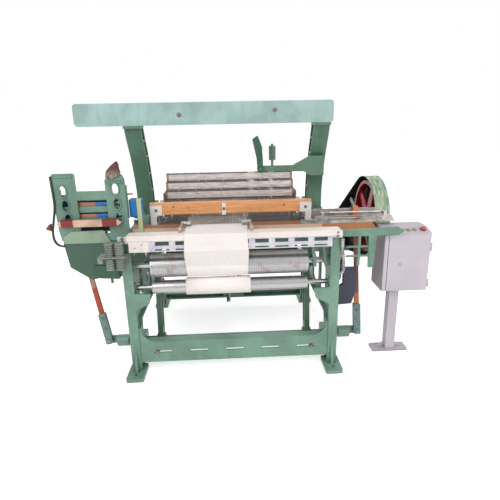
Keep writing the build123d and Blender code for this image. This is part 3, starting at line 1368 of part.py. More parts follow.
def warp_yarn():
    """The wound warp between the flanges."""
    span = (CLOTH_LEFT - 16, CLOTH_RIGHT + 18)
    return tube_x(span, WARP_BEAM_Y, WARP_BEAM_Z, WARP_ROLL_RADIUS, WARP_BARREL_RADIUS + BUSH_SEAT)


def warp_sheet():
    """The warp from its beam over the back rest to the last heald frame."""
    gap = SOFT_GAP
    rest_in = Pos(BACK_REST_Y, BACK_REST_Z) * Circle(BACK_REST_RADIUS + gap)
    rest_out = Pos(BACK_REST_Y, BACK_REST_Z) * Circle(BACK_REST_RADIUS + gap + 2)
    roll_in = Pos(WARP_BEAM_Y, WARP_BEAM_Z) * Circle(WARP_ROLL_RADIUS + gap)
    roll_out = Pos(WARP_BEAM_Y, WARP_BEAM_Z) * Circle(WARP_ROLL_RADIUS + gap + 2)
    band = make_hull([*rest_out.edges(), *roll_out.edges()]) - make_hull([*rest_in.edges(), *roll_in.edges()])
    far = WARP_BEAM_Y + WARP_ROLL_RADIUS + 20
    keep = flat([(BACK_REST_Y, WARP_BEAM_Z + 40), (far, WARP_BEAM_Z + 40), (far, 1100), (BACK_REST_Y, 1100)])
    top = BACK_REST_Z + BACK_REST_RADIUS + gap
    front = HEALD_FIRST_Y + (HEALD_COUNT - 1) * HEALD_PITCH + HEALD_THICKNESS / 2 + 14
    run = flat([(BACK_REST_Y, top), (BACK_REST_Y, top + 2), (front, top - 2), (front, top - 4)])
    return side_plate((band & keep) + run, (CLOTH_LEFT - 8, CLOTH_RIGHT + 10))


def rear_bracket(y, z, low, high, radius):
    """A plate on the back of the right rear leg that carries a bearing boss."""
    web = (FRAME_X - 8, FRAME_X + 8)
    eye = Pos(y, z) * Circle(radius + 16)
    root = Pos(BACK_Y + 4, (low + high) / 2) * Rectangle(8, high - low)
    bracket = side_plate(make_hull([*eye.edges(), *root.edges()]), web)
    bracket += block((FRAME_INNER, FRAME_OUTER), (BACK_Y, BACK_Y + 12), (low - 10, high + 10))
    bracket += rod_x((FRAME_INNER + 6, FRAME_OUTER - 6), y, z, radius + 16)
    return bracket - rod_x((FRAME_INNER, FRAME_OUTER), y, z, radius + RUNNING_FIT)


def beam_brackets():
    right = rear_bracket(WARP_BEAM_Y, WARP_BEAM_Z, 330, 480, JOURNAL_RADIUS)
    return group([right, mirrored(right)])


def back_rest_brackets():
    right = rear_bracket(BACK_REST_Y, BACK_REST_Z, 610, 730, 12.0)
    return group([right, mirrored(right)])


def back_rest():
    """The whip roller over which the warp bends."""
    roller = rod_x((-FRAME_INNER + 14, FRAME_INNER - 14), BACK_REST_Y, BACK_REST_Z, BACK_REST_RADIUS)
    return roller + rod_x((-FRAME_OUTER + 8, FRAME_OUTER - 8), BACK_REST_Y, BACK_REST_Z, 12)


# Heald frames, guides and treadles

def heald_y(index):
    return HEALD_FIRST_Y + index * HEALD_PITCH


def heald_frame(index):
    """One frame: two bars, two end stiles, a row of heald wires and the rod that the treadle works."""
    y = heald_y(index)
    depth = (y - HEALD_THICKNESS / 2, y + HEALD_THICKNESS / 2)
    top = HEALD_TOP + index * HEALD_STEP
    bottom = top - HEALD_HEIGHT
    half = HEALD_HALF_LENGTH
    frame = block((-half, half), depth, (bottom, top))
    frame -= block((-half + 14, half - 14), (depth[0] - 1, depth[1] + 1), (bottom + 40, top - HEALD_BAR))
    pitch = (2 * half - 60) / HEALD_WIRES
    wires = (y - 1.5, y + 1.5)
    for wire in range(HEALD_WIRES):
        x = (wire - (HEALD_WIRES - 1) / 2) * pitch
        frame += block((x - 1.5, x + 1.5), wires, (bottom + 39, top - HEALD_BAR + 1))
    rod_x_place = treadle_x(index) + TREADLE_THICKNESS / 2 + 6 + 2 * SIDE_GAP
    eye_z = treadle_height(index, y)
    frame += rod_z(rod_x_place, y, (eye_z, bottom + 1), 5)
    eye = block((rod_x_place - 6, rod_x_place + 6), (y - 13, y + 13), (eye_z - 16, eye_z + 16))
    return frame + eye


def treadle_slope(index):
    """Rise of a treadle towards the front. The first heald rests at the foot of its stroke, with its treadle."""
    bowl_z = BOTTOM_SHAFT_Z - TAPPET_RADIUS - TAPPET_LIFT - BOWL_RADIUS - 2
    line_z = bowl_z - BOWL_RADIUS - 8
    up = (line_z - TREADLE_PIVOT_Z) / (TREADLE_PIVOT_Y - BOTTOM_SHAFT_Y)
    return up if index else up - HEALD_STROKE / (TREADLE_PIVOT_Y - heald_y(0))


def treadle_height(index, y):
    """Height of a treadle's centre line at a place along its length."""
    return TREADLE_PIVOT_Z + treadle_slope(index) * (TREADLE_PIVOT_Y - y)

def treadle(index):
    """A lever below its cam, with the bowl that the cam presses and an eye at its pivot."""
    middle = treadle_x(index)
    x = (middle - TREADLE_THICKNESS / 2, middle + TREADLE_THICKNESS / 2)
    eye = Pos(TREADLE_PIVOT_Y, TREADLE_PIVOT_Z) * Circle(22)
    bowl_z = treadle_height(index, BOTTOM_SHAFT_Y) + BOWL_RADIUS + 8
    waist = Pos(BOTTOM_SHAFT_Y, treadle_height(index, BOTTOM_SHAFT_Y)) * Circle(18)
    tip = Pos(TREADLE_FRONT_Y, treadle_height(index, TREADLE_FRONT_Y)) * Circle(12)
    lever = side_plate(make_hull([*eye.edges(), *waist.edges()]), x)
    lever += side_plate(make_hull([*waist.edges(), *tip.edges()]), x)
    lever += rod_x(x, BOTTOM_SHAFT_Y, bowl_z, BOWL_RADIUS)
    return lever - rod_x((x[0] - 1, x[1] + 1), TREADLE_PIVOT_Y, TREADLE_PIVOT_Z, 12 + RUNNING_FIT)


def treadle_bracket():
    """Two cheeks on the rear girder with the treadles' shaft between them."""
    face = BACK_Y - 30 - GIRDER_DEPTH
    reach = treadle_x(HEALD_COUNT - 1) + TREADLE_THICKNESS / 2 + 24
    low = GIRDER_BOTTOM + 6
    high = GIRDER_BOTTOM + REAR_GIRDER_HEIGHT - 6
    eye = Pos(TREADLE_PIVOT_Y, TREADLE_PIVOT_Z) * Circle(24)
    root = Pos(face - 6, (low + high) / 2) * Rectangle(12, high - low)
    cheek = make_hull([*eye.edges(), *root.edges()])
    bracket = side_plate(cheek, (reach, reach + 12)) + side_plate(cheek, (-reach - 12, -reach))
    bracket += block((-reach - 12, reach + 12), (face - 12, face), (low, high))
    return bracket + rod_x((-reach - 1, reach + 1), TREADLE_PIVOT_Y, TREADLE_PIVOT_Z, 12)


def heald_guide():
    """The right guide casting: a plate with ribs between the heald ends, and an arm to the arch leg's base."""
    inner = HEALD_HALF_LENGTH + 2
    x = (inner, inner + 12)
    base = FRAME_HEAD + 16
    high = base + 170
    low_y = HEALD_FIRST_Y - HEALD_THICKNESS / 2 - 16
    high_y = CRANK_Y - 50
    face = flat([(low_y, base), (high_y, base), (high_y, base + 70), (high_y - 70, high), (low_y, high)], 10)
    guide = side_plate(face, x)
    for index in range(HEALD_COUNT + 1):
        front = heald_y(index - 1) + HEALD_THICKNESS / 2 + 1.5 if index else low_y
        back = heald_y(index) - HEALD_THICKNESS / 2 - 1.5 if index < HEALD_COUNT else front + 14
        guide += block((inner - 18, inner), (front, back), (base + 4, high - 60))
    arm_y = (CRANK_Y - 79, CRANK_Y - 52)
    return guide + block((inner, FRAME_X - 8), arm_y, (base, base + 36))


def heald_guides():
    right = heald_guide()
    return group([right, mirrored(right)])


def coil(x, y, z):
    """A spring on its rod, with its turns as rings round one core."""
    spring = rod_z(x, y, z, SPRING_RADIUS - 5)
    turns = int((z[1] - z[0]) / SPRING_PITCH)
    for index in range(turns):
        low = z[0] + index * SPRING_PITCH
        spring += rod_z(x, y, (low, low + SPRING_PITCH - 6), SPRING_RADIUS)
    return spring


def lever_bracket():
    """The casting on the right arch leg that carries the levelling lever and, on a post, its spring."""
    outer = FRAME_X + ARCH_FLANGE_WIDTH / 2 - 20
    y = (LEVER_Y, LEVER_Y + 24)
    arm_low = LEVER_Z - 20
    arm_high = LEVER_Z + 20
    root = (LEVER_Z - 57, LEVER_Z + 83)
    face = flat([
        (LEVER_X, arm_low), (FRAME_X - 110, arm_low - 6), (FRAME_X - 60, root[0]), (outer, root[0]),
        (outer, root[1]), (FRAME_X - 70, root[1]), (FRAME_X - 190, arm_high), (LEVER_X, arm_high),
    ])
    bracket = front_plate(face, (y[0], y[1] + 98))
    leg_side = FRAME_X - 64
    behind = flat([(LEVER_X - 1, root[0] - 1), (leg_side, root[0] - 1), (leg_side, root[1] + 1), (LEVER_X - 1, root[1] + 1)])
    bracket -= front_plate(behind, (y[1], y[1] + 100))
    bracket -= side_plate(arch_band(-ARCH_DEPTH / 2 - SIDE_GAP, ARCH_DEPTH + 100), (leg_side - 180, outer + 80))
    bracket += rod_y(LEVER_X, y, LEVER_Z, 24)
    bracket += rod_y(LEVER_X, (y[0] - 26, y[0]), LEVER_Z, 10)
    middle = (y[0] + y[1]) / 2
    spring = (arm_high + 40, arm_high + 40 + 7 * SPRING_PITCH)
    bracket += rod_z(SPRING_POST_X, middle, (arm_high - 1, spring[1] + 14), 9)
    return bracket + coil(SPRING_POST_X, middle, spring)

def levelling_lever():
    """The hand lever that sets the heald frames level, cranked to the left above its pivot."""
    y = (LEVER_Y - 20, LEVER_Y - SIDE_GAP)
    low = LEVER_Z - 26
    knee = LEVER_Z + 0.33 * LEVER_LENGTH
    top = LEVER_Z + LEVER_LENGTH
    face = flat([
        (LEVER_X - 20, low), (LEVER_X - 28, knee), (LEVER_X - 20 - LEVER_LEAN, top - 24), (LEVER_X + 18 - LEVER_LEAN, top),
        (LEVER_X + 12, knee + 78), (LEVER_X + 17, knee), (LEVER_X + 20, low),
    ], 5)
    lever = front_plate(face, y)
    return lever - rod_y(LEVER_X, (y[0] - 1, y[1] + 1), LEVER_Z, 10 + RUNNING_FIT)

# Right front guard and starting handle

def picking_guard():
    """The cast bracket in front of the right picking stick: an arm, a hanging bar and two spindles across."""
    y = (FRONT_Y + 40, FRONT_Y + 56)
    low = GUARD_ARM_BOTTOM
    high = GUARD_ARM_TOP
    end = GUARD_ARM_RIGHT
    arm = flat([(FRAME_OUTER, low), (end - 26, low), (end, low + 20), (end - 30, high + 10), (FRAME_OUTER, high)], 6)
    guard = front_plate(arm, y)
    half = GUARD_BAR_WIDTH / 2
    bar = flat([
        (GUARD_BAR_X - half, low + 8), (GUARD_BAR_X - half + 6, GUARD_BAR_BOTTOM),
        (GUARD_BAR_X + half - 12, GUARD_BAR_BOTTOM), (GUARD_BAR_X + half, low + 8),
    ])
    guard += front_plate(bar, y)
    middle = (y[0] + y[1]) / 2
    upright = GUARD_BAR_X - 84
    guard += block((upright - 8, upright + 8), y, (GUARD_BAR_BOTTOM + 12, low + 8))
    for z in (low - 70, low - 132):
        guard += rod_x((FRAME_OUTER + 48, GUARD_BAR_X), middle, z, 7)
    flange = block((FRAME_OUTER, FRAME_OUTER + 12), (y[0] - 6, y[1] + 12), (FRAME_FRONT_TOP - 69, high))
    return guard + flange


def stop_case():
    """The curved case outside the right leg, below the take-up gears."""
    y = (SAND_Y + 25, SAND_Y + 55)
    left = CASE_RIGHT - 84
    root = FRAME_X + FRAME_WEB / 2
    face = flat([
        (left, CASE_TOP), (CASE_RIGHT - 4, CASE_TOP - 3), (CASE_RIGHT, CASE_TOP - 172), (CASE_RIGHT - 22, CASE_BOTTOM + 10),
        (root, CASE_BOTTOM), (root, CASE_BOTTOM + 92), (left, CASE_BOTTOM + 150),
    ])
    return front_plate(face, y)


def buffer_springs():
    """Springs on two rods, above and below a plate in front of the left leg, with a knob at the plate's end."""
    plate_z = (SPRING_PLATE, SPRING_PLATE + 8)
    left = SPRING_X[0] - 66
    right = SPRING_X[1] + SPRING_RADIUS + 8
    springs = block((left, right), (SPRING_Y - SPRING_RADIUS - 6, FRONT_Y), plate_z)
    springs += block((-FRAME_OUTER + 4, right), (FRONT_Y - 10, FRONT_Y), (SPRING_PLATE - 60, SPRING_PLATE + 1))
    springs += rod_z(left + 10, SPRING_Y, (SPRING_PLATE - 34, SPRING_PLATE + 1), 18)
    for x in SPRING_X:
        springs += rod_z(x, SPRING_Y, (SPRING_LOW - 12, SPRING_HIGH + 12), SPRING_ROD_RADIUS)
        springs += coil(x, SPRING_Y, (SPRING_LOW, SPRING_PLATE)) + coil(x, SPRING_Y, (plate_z[1], SPRING_HIGH))
        for z in (SPRING_LOW - 5, SPRING_HIGH - 6):
            springs += rod_z(x, SPRING_Y, (z, z + 8), SPRING_RADIUS + 1)
    return springs


def weft_casting():
    """The dark casting outside the left leg, on its arm from the frame."""
    y = (FRONT_Y + 40, FRONT_Y + 68)
    top = SPRING_LOW - 12
    low = top - 92
    right = -FRAME_OUTER - 28
    left = right - 162
    casting = front_plate(flat([(left, top), (right, top - 6), (right, low), (left + 10, low + 10)], 8), y)
    return casting + block((right - 4, -FRAME_OUTER), (y[0] + 6, y[1] - 6), (low + 16, top - 16))

def starting_handle():
    """A flat steel handle on the outside of the right leg, with a round grip at its top."""
    x = (FRAME_OUTER + SIDE_GAP + 1, FRAME_OUTER + SIDE_GAP + 1 + HANDLE_THICKNESS)
    low = flat([
        (HANDLE_Y - 15, HANDLE_Z - 16), (HANDLE_Y + 15, HANDLE_Z - 16),
        (HANDLE_TOP_Y + 11, HANDLE_TOP_Z), (HANDLE_TOP_Y - 11, HANDLE_TOP_Z),
    ], 6)
    handle = side_plate(low, x)
    handle += rod_z((x[0] + x[1]) / 2, HANDLE_TOP_Y, (HANDLE_TOP_Z - 12, HANDLE_TOP_Z + 44), 12)
    return handle - rod_x((x[0] - 1, x[1] + 1), HANDLE_Y, HANDLE_Z, 9 + RUNNING_FIT)


def handle_pivot():
    """The stud on the right leg's rim that the starting handle turns on, with its collar."""
    end = FRAME_OUTER + HANDLE_THICKNESS + 2 * SIDE_GAP + 1
    pivot = rod_x((FRAME_X + FRAME_WEB / 2, FRAME_OUTER + 1), HANDLE_Y, HANDLE_Z, 14)
    return pivot + rod_x((FRAME_OUTER + 1, end + 3), HANDLE_Y, HANDLE_Z, 9)


# Control cabinet

def slope_points(outset):
    """The cabinet's side outline, grown or shrunk by an outset."""
    back = CABINET_FRONT + CABINET_DEPTH
    top = CABINET_TOP
    slope_y = CABINET_FRONT + CABINET_SLOPE_DEPTH
    low = top - CABINET_SLOPE_DROP
    outline = flat([(CABINET_FRONT, CABINET_BOTTOM), (back, CABINET_BOTTOM), (back, top), (slope_y, top), (CABINET_FRONT, low)])
    return offset(outline, amount=outset, kind=Kind.INTERSECTION) if outset else outline


def slope_frame():
    """A plane on the sloping panel: X to the right, Y up the slope, and its normal out of the panel."""
    low = CABINET_TOP - CABINET_SLOPE_DROP
    middle = (CABINET_LEFT + CABINET_WIDTH / 2, CABINET_FRONT + CABINET_SLOPE_DEPTH / 2, low + CABINET_SLOPE_DROP / 2)
    length = math.hypot(CABINET_SLOPE_DEPTH, CABINET_SLOPE_DROP)
    normal = (0, -CABINET_SLOPE_DROP / length, CABINET_SLOPE_DEPTH / length)
    return Plane(origin=middle, x_dir=(1, 0, 0), z_dir=normal)


def button_x(index):
    """Distance of a button from the panel's middle. The last place is the stop button's."""
    return -108 + index * BUTTON_PITCH if index < BUTTON_COUNT else 108


def lamps():
    """Signal lamps in the panel's row, between the push buttons and the stop button."""
    parts = []
    for index in range(LAMP_COUNT):
        place = slope_frame() * Pos(-108 + (BUTTON_COUNT + index) * BUTTON_PITCH, 0, 0)
        parts.append(place * Pos(0, 0, 3) * Cylinder(BUTTON_RADIUS + 3, 6))
        parts[-1] += place * Pos(0, 0, 8) * Cylinder(BUTTON_RADIUS - 1, 6)
    return group(parts)


def control_cabinet():
    """A folded sheet case, open in front behind its door, with holes for the buttons."""
    x = (CABINET_LEFT, CABINET_LEFT + CABINET_WIDTH)
    case = side_plate(slope_points(0), x)
    case -= side_plate(slope_points(-CABINET_SHEET), (x[0] + CABINET_SHEET, x[1] - CABINET_SHEET))
    door_high = CABINET_TOP - CABINET_SLOPE_DROP - 8
    case -= block((x[0] + 10, x[1] - 10), (CABINET_FRONT - 1, CABINET_FRONT + CABINET_SHEET + 1), (CABINET_BOTTOM + 10, door_high - 10))
    frame = slope_frame()
    for index in range(BUTTON_COUNT + 1):
        radius = BUTTON_RADIUS if index < BUTTON_COUNT else STOP_RADIUS
        place = frame * Pos(button_x(index), 0, 0)
        case += place * Cylinder(radius + 5, 5)
        case -= place * Cylinder(BUTTON_STEM + SIDE_GAP, 40)
    for knuckle in case_knuckles():
        case += knuckle
    return case


def button(index):
    """A push button on its stem, standing clear of its collar by its travel."""
    radius = BUTTON_RADIUS if index < BUTTON_COUNT else STOP_RADIUS
    place = slope_frame() * Pos(button_x(index), 0, 0)
    head = place * Pos(0, 0, 2.5 + BUTTON_TRAVEL + 4) * Cylinder(radius, 8)
    stem = place * Pos(0, 0, (BUTTON_TRAVEL + 2.5 - 16) / 2) * Cylinder(BUTTON_STEM, BUTTON_TRAVEL + 2.5 + 16)
    return head + stem


def cabinet_door():
    """The door on its hinge pins at the right edge, with a turned rim and a lock."""
    x = (CABINET_LEFT + 2, CABINET_LEFT + CABINET_WIDTH - 2)
    y = (CABINET_FRONT - DOOR_SHEET - SIDE_GAP, CABINET_FRONT - SIDE_GAP)
    high = CABINET_TOP - CABINET_SLOPE_DROP - 8
    door = block(x, y, (CABINET_BOTTOM + 3, high))
    lock_x = CABINET_LEFT + 0.37 * CABINET_WIDTH
    lock_z = CABINET_BOTTOM + 0.45 * (CABINET_TOP - CABINET_BOTTOM)
    door += rod_y(lock_x, (y[0] - 5, y[0] + 1), lock_z, 12)
    door -= block((lock_x - 2, lock_x + 2), (y[0] - 6, y[0] - 2), (lock_z - 7, lock_z + 7))
    for middle in HINGE_LEVELS:
        span = (middle + SIDE_GAP, middle + HINGE_KNUCKLE)
        door += rod_z(*hinge_place(), span, HINGE_RADIUS)
        door += block((x[1] - 1, hinge_place()[0]), (y[0], y[1]), span)
        door -= rod_z(*hinge_place(), (span[0] - 1, span[1] + 1), HINGE_PIN + RUNNING_FIT)
    return door


def hinge_place():
    """The door hinge's axis, just outside the case's front right edge."""
    return CABINET_LEFT + CABINET_WIDTH + HINGE_RADIUS, CABINET_FRONT - SIDE_GAP - DOOR_SHEET / 2


def case_knuckles():
    """The case's half of both hinges, with the pins that the door hangs on."""
    x, y = hinge_place()
    parts = []
    for middle in HINGE_LEVELS:
        knuckle = rod_z(x, y, (middle - HINGE_KNUCKLE, middle), HINGE_RADIUS)
        knuckle += rod_z(x, y, (middle - 1, middle + HINGE_KNUCKLE), HINGE_PIN)
        edge = CABINET_LEFT + CABINET_WIDTH
        knuckle += block((edge, x + HINGE_RADIUS), (y, CABINET_FRONT + 12), (middle - HINGE_KNUCKLE, middle))
        parts.append(knuckle)
    return parts


def cabinet_fittings():
    """The mounting plate inside the cabinet with its switching blocks, held by four studs."""
    back = CABINET_FRONT + CABINET_DEPTH - CABINET_SHEET
    x = (CABINET_LEFT + 40, CABINET_LEFT + CABINET_WIDTH - 40)
    plate = block(x, (back - 23, back - 20), (CABINET_BOTTOM + 50, CABINET_TOP - 110))
    for stud_x in (x[0] + 12, x[1] - 12):
        for stud_z in (CABINET_BOTTOM + 62, CABINET_TOP - 122):
            plate += rod_y(stud_x, (back - 21, back), stud_z, 4)
    for index in range(3):
        low = x[0] + 18 + index * 66
        plate += block((low, low + 54), (back - 90, back - 22), (CABINET_TOP - 220, CABINET_TOP - 140))
    return plate + block((x[0] + 20, x[1] - 20), (back - 60, back - 22), (CABINET_BOTTOM + 80, CABINET_BOTTOM + 112))


def cabinet_stand():
    """A square post on a flat foot."""
    middle_x = CABINET_LEFT + STAND_POST_X
    middle_y = CABINET_FRONT + CABINET_DEPTH / 2
    half = POST_WIDTH / 2
    stand = block((middle_x - half, middle_x + half), (middle_y - half, middle_y + half), (STAND_FOOT_THICKNESS - 1, CABINET_BOTTOM))
    low_y = middle_y - STAND_FOOT_DEPTH / 2
    corners = [
        (middle_x - STAND_FOOT_WIDTH / 2, low_y),
        (middle_x + STAND_FOOT_WIDTH / 2, low_y),
        (middle_x + STAND_FOOT_WIDTH / 2, low_y + STAND_FOOT_DEPTH),
        (middle_x - STAND_FOOT_WIDTH / 2, low_y + STAND_FOOT_DEPTH),
    ]
    stand += top_plate(flat(corners, 10), (0, STAND_FOOT_THICKNESS))
    for side in (-1, 1):
        edge = middle_x + side * half
        toe = edge + side * 70
        gusset = flat([(edge, STAND_FOOT_THICKNESS - 1), (toe, STAND_FOOT_THICKNESS - 1), (edge, STAND_FOOT_THICKNESS + 42)])
        stand += front_plate(gusset, (middle_y - 5, middle_y + 5))
    return stand


def side_frames():
    right = side_frame()
    return right, mirrored(right)


def build_nodes():
    right_frame, left_frame = side_frames()
    right_leg = arch_leg()
    nodes = {
        "side_frame_right": right_frame,
        "side_frame_left": left_frame,
        "shaft_bushes": shaft_bushes(),
        "girders": group([front_girder(), rear_girder(), treadle_bracket()]),
        "breast_beam": breast_beam(),
        "breast_cover": group([breast_cover(), cover_end_plate()]),
        "arch_legs": group([right_leg, mirrored(right_leg)]),
        "top_beam": top_beam(),
        "crankshaft": group([crankshaft(), crank_gear()]),
        "drive_wheel": drive_wheel(),
        "crank_arm_right": crank_arm(1),
        "crank_arm_left": crank_arm(-1),
        "bottom_shaft": group([bottom_shaft(), tappets(), picking_cams()]),
        "bottom_gear": bottom_gear(),
        "drive_belt": drive_belt(),
        "drive_guard": drive_guard(),
        "drive_brackets": group([drive_bracket(), motor_bracket()]),
        "motor": motor(),
        "motor_pulley": motor_pulley(),
        "rocking_shaft": group([rocking_shaft(), stick_feet()]),
        "lay_swords": lay_swords(),
        "race_board": race_board(),
        "reed": reed(),
        "hand_rail": hand_rail(),
        "rail_posts": rail_posts(),
        "box_towers": box_towers(),
        "box_guards": group([box_cover(), box_guide(), box_front_bar(), box_buffer()]),
        "drop_box": drop_box(),
        "shuttles": shuttles(),
        "shuttle_box_right": shuttle_box_right(),
        "sand_roller": group([sand_roller(), sand_gear()]),
        "change_gear": change_gear(),
        "take_up_pawl": take_up_pawl(),
        "cloth_roller": cloth_roller(),
        "cloth_roll": cloth_roll(),
        "cloth_web": cloth_web(),
        "studs_and_temples": group([take_up_studs(), handle_pivot(), temples()]),
        "warp_beam": group([warp_beam(), beam_flanges()]),
        "warp_yarn": warp_yarn(),
        "warp_sheet": warp_sheet(),
        "rear_brackets": group([beam_brackets(), back_rest_brackets()]),
        "back_rest": back_rest(),
        "heald_guides": group([heald_guides(), lever_bracket()]),
        "levelling_lever": levelling_lever(),
        "picking_guard": group([picking_guard(), stop_case()]),
        "buffer_springs": group([buffer_springs(), weft_casting()]),
        "starting_handle": starting_handle(),
        "control_cabinet": group([control_cabinet(), lamps(), cabinet_fittings(), cabinet_stand()]),
        "cabinet_door": cabinet_door(),
    }
    for side, x, splay in (("left", STICK_LEFT_X, STICK_LEFT_SPLAY), ("right", STICK_RIGHT_X, STICK_RIGHT_SPLAY)):
        pieces = [stick_shoe(x, splay), picking_stick(x, splay), picker(x, splay)]
        nodes["picking_stick_" + side] = group(pieces)
    for index in range(HEALD_COUNT):
        nodes["heald_frame_" + str(index + 1)] = heald_frame(index)
        nodes["treadle_" + str(index + 1)] = treadle(index)
    for index in range(BUTTON_COUNT):
        nodes["button_" + str(index + 1)] = button(index)
    nodes["stop_button"] = button(BUTTON_COUNT)
    return nodes


os.makedirs("parts", exist_ok=True)
for name, node in build_nodes().items():
    export_step(node, "parts/" + name + ".step")
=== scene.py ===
"""Power loom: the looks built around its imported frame. Metres, +X to the weaver's right, +Y back, +Z up."""
import bpy
import math
import numpy as np
from mathutils import Matrix


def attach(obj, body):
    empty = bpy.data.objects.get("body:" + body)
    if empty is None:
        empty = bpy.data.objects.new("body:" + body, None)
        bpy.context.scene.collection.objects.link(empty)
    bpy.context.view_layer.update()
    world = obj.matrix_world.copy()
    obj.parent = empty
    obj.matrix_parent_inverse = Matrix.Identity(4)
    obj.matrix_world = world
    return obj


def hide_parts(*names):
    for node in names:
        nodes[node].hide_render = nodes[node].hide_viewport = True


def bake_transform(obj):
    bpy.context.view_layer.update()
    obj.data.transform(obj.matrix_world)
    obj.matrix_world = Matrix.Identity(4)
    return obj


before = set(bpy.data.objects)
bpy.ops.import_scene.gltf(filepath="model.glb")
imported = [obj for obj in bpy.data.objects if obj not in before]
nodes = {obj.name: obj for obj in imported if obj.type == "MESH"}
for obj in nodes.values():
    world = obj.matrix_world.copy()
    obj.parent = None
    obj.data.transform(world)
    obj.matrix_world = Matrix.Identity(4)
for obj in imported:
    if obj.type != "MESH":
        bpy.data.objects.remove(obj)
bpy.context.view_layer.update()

# Where things are on the part. A centre or a point is (y, z), because the rollers and frames run along X.
# A reach is the radius at which the yarn lies. The healds' levels are those of the first frame at rest:
# the foot of its wires, their eyes, and the foot of its upper bar.
BEAM_TOP, BEAM_FRONT, COVER_SHEET = 0.950, -0.570, 0.003
SAND_CENTRE, SAND_RADIUS = (-0.455, 0.723), 0.075
CLOTH_ROLL_CENTRE = (-0.470, 0.583)
BACK_REST_CENTRE, BACK_REST_REACH = (0.576, 0.925), 0.0312
WARP_BEAM_CENTRE, WARP_BEAM_REACH = (0.655, 0.430), 0.1362
FELL = (-0.3445, 0.9548)
CLOTH_LEFT, CLOTH_RIGHT = -0.285, 0.100
WARP_LEFT, WARP_RIGHT = -0.288, 0.104
HEALD_COUNT = 3
HEALD_FIRST_Y, HEALD_PITCH, HEALD_STEP = -0.040, 0.050, 0.055
HEALD_FOOT_Z, HEALD_EYE_Z, HEALD_BAR_Z = 0.789, 0.908, 1.066
REED_LEFT, REED_PITCH, REED_GAPS = -0.478, 0.00966, 100
STICK_PIVOT, STICK_LEAN = (-0.320, 0.130), math.radians(7.1)


# Shader values as expressions

class Wire:
    """A number that varies over a surface. Sums and products of wires add Math nodes."""

    def __init__(self, graph, socket):
        self.graph = graph
        self.socket = socket

    def math(self, operation, first, second=None):
        values = {0: first} if second is None else {0: first, 1: second}
        return self.graph.add("ShaderNodeMath", {"operation": operation}, values)

    def __add__(self, other):
        return self.math("ADD", self, other)

    def __sub__(self, other):
        return self.math("SUBTRACT", self, other)

    def __mul__(self, other):
        return self.math("MULTIPLY", self, other)

    def __truediv__(self, other):
        return self.math("DIVIDE", self, other)

    def __rsub__(self, other):
        return self.math("SUBTRACT", other, self)

    __radd__ = __add__
    __rmul__ = __mul__

    def most(self, other):
        return self.math("MAXIMUM", self, other)

    def least(self, other):
        return self.math("MINIMUM", self, other)

    def size(self):
        return self.math("ABSOLUTE", self)

    def part(self):
        return self.math("FRACT", self)

    def root(self):
        return self.math("SQRT", self)

    def sine(self):
        return self.math("SINE", self)

    def angle(self, other):
        """The angle whose sine and cosine are in proportion to this and the other."""
        return self.math("ARCTAN2", self, other)

    def step(self, low, high):
        """0 below low, 1 above high and smooth between."""
        return self.graph.add("ShaderNodeMapRange", {"interpolation_type": "SMOOTHSTEP"},
                              {0: self, 1: low, 2: high, 3: 0.0, 4: 1.0})

    def below(self, low, high):
        """1 below low, 0 above high and smooth between."""
        return 1 - self.step(low, high)

    def within(self, low, high, soft=0.0005):
        """1 from low to high and 0 outside, smooth over twice the soft width at each end."""
        return self.step(low - soft, low + soft) * self.below(high - soft, high + soft)


class Graph:
    """A node tree. Constants go straight on the sockets, only what varies is linked."""

    def __init__(self, tree):
        self.nodes = tree.nodes
        self.links = tree.links

    def put(self, socket, value):
        """Links a wire to a socket, or sets the socket to a number or a colour."""
        if isinstance(value, Wire):
            self.links.new(value.socket, socket)
        elif isinstance(value, tuple) and len(value) == 3 and len(socket.default_value) == 4:
            socket.default_value = (*value, 1.0)
        else:
            socket.default_value = value

    def add(self, kind, settings, values, *outputs):
        """A node with its settings and inputs: a wire for each output that is named, or one for its first."""
        node = self.nodes.new(kind)
        for key, value in settings.items():
            setattr(node, key, value)
        for key, value in values.items():
            self.put(node.inputs[key], value)
        wires = [Wire(self, node.outputs[output]) for output in outputs or (0,)]
        return wires if len(wires) > 1 else wires[0]

    def seen_rays(self):
        """1 for rays that show something, also by gloss or through glass, 0 for those that carry light."""
        camera_ray, glossy_ray, glass_ray = self.add(
            "ShaderNodeLightPath", {}, {}, "Is Camera Ray", "Is Glossy Ray", "Is Transmission Ray")
        return camera_ray.most(glossy_ray).most(glass_ray)


